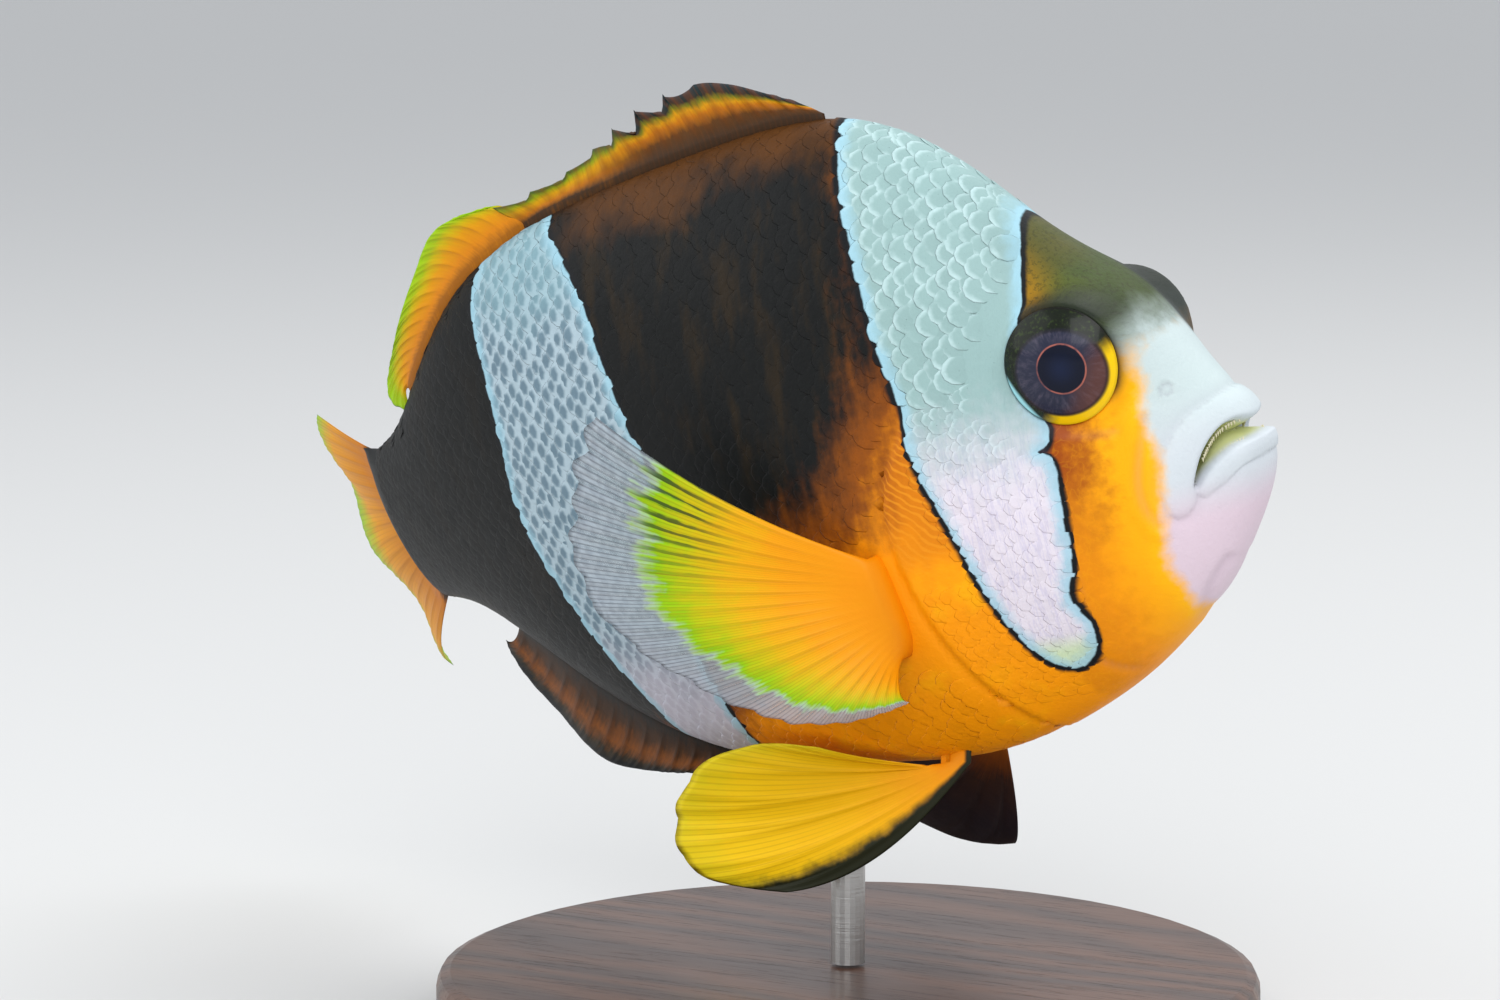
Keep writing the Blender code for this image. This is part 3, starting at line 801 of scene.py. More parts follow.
@dataclass(frozen=True)
class FishPaint:
    """The paint of the skin and its scales: orange, black and white.

    The spans are places along the fish, levels, or distances to a line, all in
    millimetres, over which one colour gives way to the next.
    """

    dark: Colour = srgb(13, 15, 15)
    streak: Colour = srgb(36, 27, 14)
    saddle: Colour = srgb(84, 49, 14)
    rust: Colour = srgb(146, 76, 8)
    orange: Colour = srgb(246, 150, 0)
    yellow: Colour = srgb(252, 182, 0)
    feather_dark: Colour = srgb(188, 98, 8)
    feather_light: Colour = srgb(240, 156, 28)
    cheek: Colour = srgb(250, 170, 0)
    deep: Colour = srgb(240, 126, 0)
    patch: Colour = srgb(148, 64, 6)
    olive: Colour = srgb(92, 98, 28)
    nape: Colour = srgb(150, 110, 16)
    crest: Colour = srgb(52, 70, 34)
    fleck: Colour = srgb(50, 52, 20)
    # Dark green painted shade over and ahead of the eyes, also the dark patch round the far eye.
    brow: Colour = srgb(18, 26, 22)
    snout: Colour = srgb(192, 206, 206)
    lips: Colour = srgb(202, 209, 214)
    chin: Colour = srgb(218, 198, 210)
    # Lilac-grey painted shade, laid in the grooves of the face.
    crease: Colour = srgb(150, 128, 150)
    gum: Colour = srgb(206, 210, 150)
    # Olive painted shade deep in the open mouth.
    throat: Colour = srgb(120, 122, 60)
    bar_low: Colour = srgb(222, 214, 224)
    bar_vein: Colour = srgb(196, 190, 214)
    bar_up: Colour = srgb(146, 176, 174)
    bar_ridge: Colour = srgb(180, 207, 207)
    bar_rear: Colour = srgb(104, 128, 142)
    bar_net: Colour = srgb(168, 188, 198)
    bar_rear_top: Colour = srgb(136, 176, 184)
    bar_rear_low: Colour = srgb(206, 198, 210)
    rim: Colour = srgb(156, 200, 216)
    outline: Colour = srgb(14, 17, 20)
    tip: Colour = srgb(196, 220, 168)
    fore_ends: Span = (58.0, 68.0)
    saddle_depth: float = 4.6
    rust_edge: Span = (-7.0, 1.5)
    orange_edge: Span = (-0.8, 4.2)
    feather_root: float = 27.0
    feather_edge: Span = (-0.9, 0.6)
    feather_low: Span = (-6.0, 1.0)
    feather_top: Span = (7.0, 11.0)
    patch_edge: Span = (-5.4, -0.4)
    patch_low: Span = (-9.0, 0.5)
    nape_low: Span = (6.6, 9.6)
    face_edge: Span = (-0.7, 0.8)
    face_glow: Span = (-1.8, -0.4)
    face_top: Span = (7.0, 12.0)
    lips_top: Span = (-1.0, 5.0)
    chin_top: Span = (-7.0, -2.5)
    throat_from: Span = (4.6, 7.5)
    bar_change: Span = (-3.0, 8.0)
    tip_top: Span = (-16.2, -14.0)
    rear_top: Span = (15.0, 25.0)
    rear_low: Span = (-19.0, -9.0)
    outline_edge: Span = (-0.6, -0.25)
    bar_edge: Span = (-0.07, 0.07)
    rim_width: Span = (0.1, 1.3)
    skin_grain: float = 0.00012
    scale_grain: float = 0.00006

    def trunk(self, p: Paint, fish: Socket, fine: Socket, broad: Socket) -> Socket:
        """The colour behind the first white bar."""
        u, v, w = p.parts(fish)
        warm = p.read("warm")
        streaks = p.noise(p.point(u * 0.5, v * 0.3, w * 0.13), 1.0, 4.0)
        fore = p.fall(u, *self.fore_ends)
        under_back = self.saddle_depth + broad.swing(9) + streaks.swing(6) - p.read("depth")
        rusty = warm + streaks.swing(10) + fine.swing(4)
        bright = warm + fine.swing(4) + streaks.swing(6)
        colour = p.layers(
            self.dark,
            (self.streak, p.step(streaks, 0.46, 0.7) * (fore * 0.8 + 0.2)),
            (self.saddle, p.step(under_back, -1.0, 5.0) * fore),
            (self.rust, p.step(rusty, *self.rust_edge)),
            (self.orange, p.step(bright, *self.orange_edge)),
            (self.yellow, p.step(broad, 0.5, 0.8) * p.step(warm, 4.0, 9.0)),
        )
        return self.feathers(p, colour, u, w)

    def feathers(self, p: Paint, colour: Socket, u: Socket, w: Socket) -> Socket:
        """Fine curved lines on the soft rear edge of the gill cover."""
        back = u - self.feather_root
        sway = p.noise(p.point(u * 0.3, w * 0.3, 0.0), 1.0, 2.0)
        lines = p.math("SINE", (w - back * back * 0.1 + sway * 2.4) * 7.4)
        strip = p.step(p.read("gill"), *self.feather_edge)
        strip = strip * p.step(w + sway * 6, *self.feather_low)
        strip = strip * p.fall(w + sway * 3, *self.feather_top)
        light = p.step(lines + sway, 0.5, 1.5)
        return p.layers(
            colour, (self.feather_dark, strip * 0.6), (self.feather_light, strip * light * 0.5))

    def head(self, p: Paint, fish: Socket, fine: Socket, broad: Socket) -> Socket:
        """The colour ahead of the first white bar."""
        u, v, w = p.parts(fish)
        low = p.step(u - w * 0.12 + broad.swing(3), 12.5, 18.5)
        near_bar = p.step(p.read("bar") + fine.swing(6) + broad.swing(5), *self.patch_edge)
        by_eye = near_bar * (p.step(w + broad.swing(9), *self.patch_low) * 0.75 + 0.25)
        veins = p.close(p.noise(fish, 0.7, 2.0) - 0.5, 0.0, 0.03)
        top = p.step(w + fine.swing(2) + p.step(u, 9.0, 14.0) * -1.2, *self.nape_low)
        speckle = p.noise(fish, 2.6, 4.0, 0.75)
        crest = p.step(p.read("depth") * -1 + broad.swing(4), -5.0, -0.6)
        nape = p.layers(
            self.olive,
            (self.nape, p.step(u - w * 0.35 + broad.swing(6), 9.0, 13.0)),
            (self.crest, crest * 0.8),
            (self.fleck, p.step(speckle, 0.5, 0.62) * 0.55),
        )
        fade = p.step(w, *self.face_top)
        white = p.layers(
            self.snout,
            (self.lips, p.fall(w, *self.lips_top)),
            (self.chin, p.fall(w, *self.chin_top)),
            (self.olive, fade * p.step(speckle, 0.5, 0.75) * 0.25),
        )
        face = p.read("face") / (1 + fade * 2.4) + fine.swing(1.2 - fade) + broad.swing(1.6)
        return p.layers(
            self.cheek,
            (self.deep, low * 0.5),
            (self.patch, by_eye * 0.95),
            (self.yellow, veins * near_bar * 0.12),
            (nape, top),
            (self.yellow, p.step(face, *self.face_glow) * (1 - top) * 0.8),
            (white, p.step(face, *self.face_edge)),
            # Painted shade round the tops of the eyes, and the far eye's dark patch.
            (self.brow, self.round_eyes(p, v, w) * 0.9),
        )

    def round_eyes(self, p: Paint, v: Socket, w: Socket) -> Socket:
        """Where skin is darkened by the eyes: painted shade over and ahead of both, and a wider dark
        patch round the left one for the far eye's dark dome.
        """
        eye = p.read("eye")
        above = p.step(w, 9.6, 12.0) * p.fall(eye, 5.1, 6.6)
        ahead = p.step(w, 3.8, 6.0) * p.fall(eye, 4.9, 5.7)
        left = p.step(v, 1.6, 3.2) * p.step(w, 4.5, 7.0) * p.fall(eye, 6.4, 7.8)
        return p.math("MAXIMUM", p.math("MAXIMUM", above, ahead), left)

    def bars(self, p: Paint, fish: Socket, fine: Socket, broad: Socket, edge: Socket) -> Socket:
        """The colour of the white bars, before their rims."""
        u, v, w = p.parts(fish)
        wrinkle = p.noise(p.point(u * 1.7, v * 0.5, w * 0.2), 1.0, 4.0, 0.6)
        net = p.step(edge + fine.swing(0.4), 0.62, 0.95) * p.step(p.noise(fish, 0.5), 0.3, 0.6)
        front = p.layers(
            self.bar_low,
            (self.bar_vein, p.close(wrinkle - 0.5, 0.0, 0.05) * 0.55),
            (p.mix(self.bar_up, self.bar_ridge, net), p.step(w + fine.swing(5), *self.bar_change)),
            (self.tip, p.fall(w, *self.tip_top) * 0.8),
        )
        level = w + broad.swing(8)
        rear = p.layers(
            self.bar_rear,
            (self.bar_net, p.step(p.read("oval") + fine.swing(0.6), 0.6, 1.25)),
            (self.bar_rear_top, p.step(level, *self.rear_top) * 0.6),
            (self.bar_rear_low, p.fall(level, *self.rear_low) * 0.75),
        )
        on_front = p.read("front")
        specks = p.step(p.noise(fish, 5.5, 1.0), 0.76, 0.8) * on_front
        return p.layers(rear, (front, on_front), (self.outline, specks * 0.5))

    def make(self, scaled: bool) -> bpy.types.Material:
        """Mix the paint.

        Args:
            scaled: Whether it is for the scales, which have rims, or for the bare skin.

        Returns:
            The material.
        """
        p = Paint("scale_paint" if scaled else "skin_paint")
        fish = p.read_point("fish")
        u, v, w = p.parts(fish)
        fine, broad = p.noise(fish, 0.9, 4.0), p.noise(fish, 0.17, 3.0)
        edge = p.read("edge")
        bar = p.read("bar") + fine.swing(0.25)
        inner = p.step(bar + fine.swing(0.8), *self.rim_width)
        white = p.mix(self.rim, self.bars(p, fish, fine, broad, edge), 0.15 + inner * 0.85)
        colour = p.layers(
            self.head(p, fish, fine, broad),
            (self.trunk(p, fish, fine, broad), p.fall(p.read("ahead"), -0.4, 0.4)),
            (self.outline, p.step(bar, *self.outline_edge)),
            (white, p.step(bar, *self.bar_edge)),
        )
        wrinkles = p.noise(p.point(u * 1.5, v * 0.5, w * 0.25), 1.0, 3.0) * p.step(bar, 0.0, 0.5)
        if scaled:
            # Each scale's own random tone, with a painted highlight that lightens its rear rim.
            shade = p.read("cell") * 0.1 + 0.9 + edge * 0.06
            grey = p.mix((0.0, 0.0, 0.0), (1.0, 1.0, 1.0), shade)
            colour = p.mix(colour, grey, 1.0, "MULTIPLY")
            height = p.noise(fish, 2.4, 3.0) + wrinkles
        else:
            # Painted shade inside the mouth: pale gums give way to olive deeper in its hollow.
            inside = p.mix(self.gum, self.throat, p.step(u, *self.throat_from))
            colour = p.layers(
                colour,
                # Painted shade in the grooves of the face, as deep as each groove is.
                (self.crease, p.read("crease") * 0.16),
                (inside, p.step(p.read("mouth"), 0.12, 0.45)),
            )
            height = fine * 0.5 + p.noise(fish, 3.4, 2.0) * 0.3 + wrinkles
        p.set(Base_Color=colour, Roughness=0.44 + fine * 0.16)
        p.film()
        p.bump(height, self.scale_grain if scaled else self.skin_grain)
        return p.material


@dataclass(frozen=True)
class FinPaint:
    """The paint of a fin: colours from root to margin, with rays and perhaps a clear edge."""

    name: str
    stops: tuple
    rear_stops: tuple | None = None
    ray: Colour = srgb(120, 60, 10)
    ray_share: float = 0.35
    mottle: float = 0.16
    clear_from: float | None = None
    clear_tint: Colour = srgb(100, 110, 122)
    clearness: float = 0.56
    hairs: int = 60
    hair_share: float = 0.12
    streak: Colour | None = None
    streaks: int = 38
    lead: Colour | None = None
    lead_from: float = 0.86
    grain: float = 0.00012

    def leading_streaks(self, p: Paint, along: Socket, across: Socket, fine: Socket,
                        grain: Socket) -> Socket:
        """Dark bands between the rays near the leading edge, fainter in the clear margin."""
        bands = p.step(p.math("SINE", across * (self.streaks * tau) + grain * 4) + fine, 0.8, 1.3)
        place = p.fall(across, 0.08, 0.34) * p.step(along + grain * 0.2, 0.5, 0.72)
        return bands * place * (1 - p.step(along, 0.72, 0.8) * 0.7)

    def make(self) -> bpy.types.Material:
        """Mix the paint."""
        p = Paint(self.name)
        along, across = p.read("along"), p.read("across")
        ray = p.read("ray") * p.step(along, 0.06, 0.4)
        fine = p.noise(p.read_point("fish"), 0.55, 4.0)
        grain = p.noise(p.point(across * 90, along * 4, 0.0), 1.0, 3.0)
        where = along + fine.swing(self.mottle) + grain.swing(self.mottle)
        hairs = p.step(p.math("SINE", across * (self.hairs * tau)), 0.35, 1.0)
        hair_share = (p.step(along, 0.35, 0.75) + 0.6) * self.hair_share
        colour = p.ramp(where, self.stops)
        if self.rear_stops:
            colour = p.mix(colour, p.ramp(where, self.rear_stops), p.step(across, 0.5, 0.8))
        colour = p.layers(colour, (self.ray, ray * self.ray_share), (self.ray, hairs * hair_share))
        if self.streak:
            streaks = self.leading_streaks(p, along, across, fine, grain)
            colour = p.mix(colour, self.streak, streaks * 0.85)
        if self.lead:
            edge = (self.lead_from - 0.08, self.lead_from + 0.04)
            colour = p.mix(colour, self.lead, p.step(across + fine.swing(0.12), *edge))
        if self.clear_from is not None:
            gone = p.step(where, self.clear_from, self.clear_from + 0.05)
            colour = p.mix(colour, self.clear_tint, gone * hairs * 0.7)
            p.set(Alpha=1 - gone * (1 - hairs * 0.4) * self.clearness)
        p.set(Base_Color=colour, Roughness=0.46 + fine * 0.15)
        p.film()
        p.bump(ray * 0.6 + fine * 0.4, self.grain)
        return p.material


@dataclass(frozen=True)
class EyePaint:
    """The paint of an eye: pupil, iris, and the dark and yellow ring round them."""

    pupil: Colour = srgb(12, 17, 34)
    # A dark blue painted sheen in the middle of the pupil.
    glow: Colour = srgb(22, 34, 66)
    pupil_rim: Colour = srgb(190, 108, 90)
    iris: Colour = srgb(40, 43, 60)
    iris_pale: Colour = srgb(74, 70, 86)
    copper: Colour = srgb(108, 62, 42)
    band: Colour = srgb(20, 26, 16)
    band_green: Colour = srgb(52, 68, 28)
    crescent: Colour = srgb(240, 196, 12)
    cyan: Colour = srgb(158, 216, 224)
    edge: Colour = srgb(20, 18, 16)
    pupil_radius: float = 2.0
    pupil_blur: float = 0.06
    pupil_ahead: float = 0.6
    iris_at: Span = (-0.25, -0.4)
    iris_size: Span = (4.0, 3.65)
    outer_edge: Span = (4.68, 4.86)

    def inner(self, p: Paint, x: Socket, y: Socket, soft: Socket) -> Socket:
        """The pupil and the iris round it, with x and y from the eye's middle."""
        x = x + self.pupil_ahead
        reach = p.reach(x, y)
        turn = p.math("ARCTAN2", y, x)
        radial = p.noise(p.point(turn * 6, reach * 0.7, 0.0), 1.0, 4.0, 0.7)
        ahead = p.step(x * -0.8 - y * 0.5 + soft.swing(1.0), 0.8, 2.8)
        iris = p.layers(
            self.iris,
            (self.iris_pale, p.step(radial, 0.42, 0.72) * p.step(reach, 1.9, 3.0)),
            (self.copper, ahead * 0.55),
        )
        off_rim = reach - self.pupil_radius
        rim = p.close(off_rim - self.pupil_blur + soft.swing(0.1), 0.02, 0.1)
        return p.layers(
            self.pupil,
            # Painted sheen: dark blue in the middle of the pupil.
            (self.glow, p.fall(reach, 0.0, 1.7) * 0.5),
            (iris, p.step(off_rim, -self.pupil_blur, self.pupil_blur)),
            (self.pupil_rim, rim * (p.step(soft, 0.3, 0.6) * 0.5 + 0.15)),
        )

    def make(self) -> bpy.types.Material:
        """Mix the paint."""
        p = Paint("eye_paint")
        place = p.read_point("eye_place")
        x, y, _ = p.parts(place)
        soft = p.noise(place, 0.9, 3.0)
        glow = p.step(x * -0.66 - y * 0.75 + soft.swing(0.8), 1.2, 2.9)
        band = p.layers(
            self.band,
            (self.band_green, p.step(p.noise(place, 3.0), 0.5, 0.7) * 0.6),
            (self.crescent, glow),
            (self.cyan, p.step(x * 0.86 - y * 0.5, 4.05, 4.5)),
        )
        oval = p.reach((x - self.iris_at[0]) / self.iris_size[0],
                       (y - self.iris_at[1]) / self.iris_size[1])
        colour = p.layers(
            self.inner(p, x, y, soft),
            (band, p.step(oval, 0.96, 1.04)),
            (self.edge, p.close(oval - 0.98, 0.0, 0.07) * 0.65),
            (self.edge, p.step(p.reach(x, y), *self.outer_edge) * (0.8 - glow * 0.6)),
        )
        p.set(Base_Color=colour, Roughness=0.22 + soft * 0.06, Specular_IOR_Level=0.12)
        p.set(Coat_Weight=0.1, Coat_Roughness=0.03)
        return p.material


@dataclass(frozen=True)
class ToothPaint:
    """Cream enamel."""

    cream: Colour = srgb(232, 226, 200)
    stain: Colour = srgb(206, 196, 150)

    def make(self) -> bpy.types.Material:
        """Mix the paint."""
        p = Paint("tooth_paint")
        cloud = p.noise(p.here(), 4000.0)
        p.set(Base_Color=p.mix(self.cream, self.stain, cloud), Roughness=0.25)
        return p.material


@dataclass(frozen=True)
class WoodPaint:
    """Dark oiled walnut with its grain along X."""

    dark: Colour = srgb(58, 36, 24)
    light: Colour = srgb(98, 62, 38)
    pore: Colour = srgb(30, 18, 12)
    pore_depth: float = 0.00008

    def make(self) -> bpy.types.Material:
        """Mix the paint."""
        p = Paint("oiled_walnut")
        x, y, z = p.parts(p.here())
        sway = p.noise(p.point(x * 14, y * 50, z * 50), 1.0, 2.0)
        rings = p.math("SINE", (y * 900 + z * 500) + sway * 26) * 0.5 + 0.5
        pores = p.noise(p.point(x * 160, y * 2600, z * 2600), 1.0, 3.0, 0.7)
        colour = p.layers(
            self.dark,
            (self.light, rings * 0.7 + sway * 0.2),
            (self.pore, p.step(pores, 0.56, 0.7) * 0.7),
        )
        p.set(Base_Color=colour, Roughness=0.34 + pores * 0.2)
        p.set(Coat_Weight=0.2, Coat_Roughness=0.2)
        p.bump(p.fall(pores, 0.55, 0.72), self.pore_depth)
        return p.material


@dataclass(frozen=True)
class SteelPaint:
    """Bright steel, brushed round the rod."""

    dull: Colour = srgb(176, 176, 174)
    bright: Colour = srgb(206, 206, 204)
    brush_depth: float = 0.00002

    def make(self) -> bpy.types.Material:
        """Mix the paint."""
        p = Paint("brushed_rod")
        x, y, z = p.parts(p.here())
        brush = p.noise(p.point(x * 300, y * 300, z * 9000), 1.0, 3.0, 0.7)
        p.set(Base_Color=p.mix(self.dull, self.bright, brush), Metallic=1.0)
        p.set(Roughness=0.24 + brush * 0.16)
        p.bump(brush, self.brush_depth)
        return p.material


def rounded(share: Array, width: float) -> Array:
    """1 over most of 0 to 1, falling to 0 at both ends over a width, as a round edge does."""
    near = np.clip(np.minimum(share, 1 - share) / width, 0, 1)
    return np.sqrt(1 - (1 - near) ** 2)


@dataclass
class Fin:
    """A fin: rays fanning from its root to its margin, with a thin web between them.

    Places on it are shares of 0 to 1: across it, from ray to ray, and along the rays.
    """

    name: str
    root: Callable[[Array], Array]
    margin: Callable[[Array], Array]
    bow: Callable[[Array], Array]
    sunk: tuple[float, float, float]
    rays: int
    paint: FinPaint
    tile: Tile
    side: int = 1
    cells: int = 6
    rows: int = 26
    web: float = 0.2
    ray_size: float = 0.42
    ray_width: float = 0.13
    ray_rise: Span = (0.05, 0.4)
    branch_from: float = 0.4
    fork: float = 0.21
    base: float = 0.5
    base_fade: float = 0.22
    base_ends: float = 0.4
    thinning: float = 0.4
    edge_rays: float = 0.6
    ripple: float = 0.25
    waves: float = 2.5
    wave_lag: float = 3.0
    fray: float = 0.02
    wander: Span = (2.7, 5.9)

    def ray_bump(self, across: Array, along: Array) -> Array:
        """How near each place is to the middle of a ray, which forks towards its tip."""
        phase = across * self.rays % 1.0 - 0.5
        fork = self.fork * smooth(along, self.branch_from, 1.0)
        return np.exp(-((np.abs(phase) - fork) / self.ray_width) ** 2)

    def margin_reach(self, across: Array) -> Array:
        """How far each ray reaches, with a slightly frayed web between the tips."""
        phase = across * self.rays % 1.0 - 0.5
        slow, quick = (across * self.rays * rate for rate in self.wander)
        wander = np.sin(slow) + np.sin(quick + 1.0)
        return 1 - self.fray * (2 * np.abs(phase) ** 1.5 + 0.25 * wander + 0.5)

    def surface(self, across: Array, along: Array) -> Array:
        """The middle surface of the fin at shares across it and along its rays."""
        reach = along * self.margin_reach(across)
        r = reach[..., None]
        root, tip = self.root(across), self.margin(across)
        wave = self.ripple * reach * np.sin(across * tau * self.waves + along * self.wave_lag)
        points = (1 - r) * root + r * tip + 4 * r * (1 - r) * self.bow(across)
        points[..., 1] += wave
        return points

    def half_thickness(self, across: Array, along: Array, ray: Array) -> Array:
        """Half the fin's thickness: web, rays and a thick base, with rounded edges."""
        swell = (self.ray_size - self.web) * ray * smooth(along, *self.ray_rise)
        thick = (self.web + swell) * (1 - self.thinning * along)
        root = np.clip(1 - along / self.base_fade, 0, None) ** 2
        thick += self.base * root * rounded(across, self.base_ends)
        half = thick / 2 * rounded(across, self.edge_rays / self.rays)
        half[-1] = 0.0
        return half

    def build(self) -> bpy.types.Object:
        """Make the fin as a closed shell whose root is sunk into the body."""
        q = np.linspace(0, 1, self.rays * self.cells + 1)
        along, across = np.meshgrid(np.linspace(0, 1, self.rows + 1), q, indexing="ij")
        middle = self.surface(across, along)
        normal = normals_of(middle)
        ray = self.ray_bump(across, along)
        half = self.half_thickness(across, along, ray)
        sunk = middle[0] + np.array(self.sunk)
        middle = np.concatenate(([sunk, sunk], middle))
        normal = np.concatenate(([normal[0], normal[0]], normal))
        half = np.concatenate(([np.zeros(len(q)), half[0]], half))
        offset = normal * half[..., None]
        both = np.concatenate((middle + offset, (middle - offset)[:, ::-1]), axis=1)
        both[..., 1] *= self.side
        values = {"fish": both}
        for label, share in (("along", along), ("across", across), ("ray", ray)):
            full = np.concatenate((share[:1], share[:1], share))
            values[label] = np.concatenate((full, full[:, ::-1]), axis=1)
        thing = shell(self.name, both, values, self.tile)
        thing.data.materials.append(self.paint.make())
        return thing


@dataclass
class SpinyFin(Fin):
    """The front of the dorsal fin, cut in behind the tip of each spine."""

    notch: float = 2.3
    tuft: float = 0.35
    cut_from: Span = (0.28, 0.42)
    cut_less: Span = (0.45, 0.75)
    cut_end: float = 0.14

    def surface(self, across: Array, along: Array) -> Array:
        """The middle surface, with each tip drawn back over the notch behind it."""
        points = super().surface(across, along)
        phase = across * self.rays % 1.0
        spine = np.floor(across * self.rays)
        strength = smooth(across, *self.cut_from) * (1 - 0.75 * smooth(across, *self.cut_less))
        uneven = 0.6 + 0.6 * np.abs(np.sin(spine * 2.3))
        deep = smooth(phase, 0.0, self.cut_end) * (1 - phase) ** 0.8 * strength * uneven
        end = along ** 3
        points[..., 2] -= self.notch * deep * end
        points[..., 0] += self.tuft * phase ** 2 * end * strength
        return points


def fan_bow(out: float, up: float, slope: float = 0.0) -> Callable[[Array], Array]:
    """A bow of all rays out and up at their middles, with a slope from first to last."""
    return lambda q: np.stack((0 * q, out + 0 * q, up + slope * q), -1)


def edge_root(ends: Span, edge: Callable, offset: float) -> Callable[[Array], Array]:
    """The root of a fin along the back or the belly, between two places."""
    def root(q: Array) -> Array:
        """Points of the root at shares of its length."""
        u = ends[0] + q * (ends[1] - ends[0])
        return np.stack((u, 0 * q, edge(u) + offset), -1)
    return root


def stops(*pairs: tuple[float, tuple[int, int, int]]) -> tuple:
    """The stops of a ramp, from places and screen colours."""
    return tuple((place, srgb(*colour)) for place, colour in pairs)


FIN_PAINTS = {paint.name: paint for paint in (
    FinPaint("spiny_dorsal", stops(
        (0.0, (52, 32, 12)), (0.28, (84, 50, 12)), (0.5, (184, 108, 2)), (0.6, (204, 142, 2)),
        (0.71, (116, 114, 18)), (0.81, (24, 38, 34)), (1.0, (34, 50, 56)),
    ), rear_stops=stops(
        (0.0, (56, 34, 10)), (0.22, (176, 104, 2)), (0.5, (204, 150, 0)),
        (0.75, (140, 154, 6)), (0.95, (70, 90, 34)),
    )),
    FinPaint("soft_dorsal", stops(
        (0.0, (150, 88, 4)), (0.14, (206, 124, 4)), (0.4, (214, 146, 0)),
        (0.6, (196, 170, 0)), (0.76, (158, 182, 6)), (1.0, (150, 200, 4)),
    ), ray_share=0.08, hair_share=0.05),
    FinPaint("anal", stops(
        (0.0, (30, 26, 22)), (0.3, (70, 42, 18)), (0.55, (128, 70, 16)),
        (0.78, (52, 40, 22)), (0.92, (18, 20, 22)),
    ), ray=srgb(24, 26, 26), mottle=0.3),
    FinPaint("tail", stops(
        (0.0, (20, 18, 14)), (0.06, (70, 42, 12)), (0.13, (190, 110, 2)),
        (0.6, (222, 150, 0)), (0.85, (170, 190, 8)), (1.0, (128, 188, 16)),
    ), ray_share=0.16),
    FinPaint("pectoral", stops(
        (0.0, (234, 140, 0)), (0.3, (234, 152, 0)), (0.46, (222, 166, 0)),
        (0.6, (190, 180, 0)), (0.72, (136, 188, 0)), (0.8, (170, 182, 188)),
        (1.0, (176, 184, 194)),
    ), ray=srgb(120, 84, 0), ray_share=0.16, clear_from=0.76, hairs=114, hair_share=0.2,
        streak=srgb(22, 44, 22)),
    FinPaint("near_pelvic", stops(
        (0.0, (232, 140, 8)), (0.35, (248, 184, 8)), (0.8, (250, 204, 14)), (1.0, (228, 206, 24)),
    ), ray_share=0.06, lead=srgb(34, 36, 20), lead_from=0.88, hairs=40),
    # The far pelvic fin is the same yellow fin as the near one, painted dark brown-violet as painted
    # shade where it hangs beyond the belly.
    FinPaint("far_pelvic", stops(
        (0.0, (150, 80, 14)), (0.25, (60, 40, 34)), (0.6, (34, 28, 38)), (1.0, (28, 24, 32)),
    ), ray=srgb(20, 16, 22)),
)}


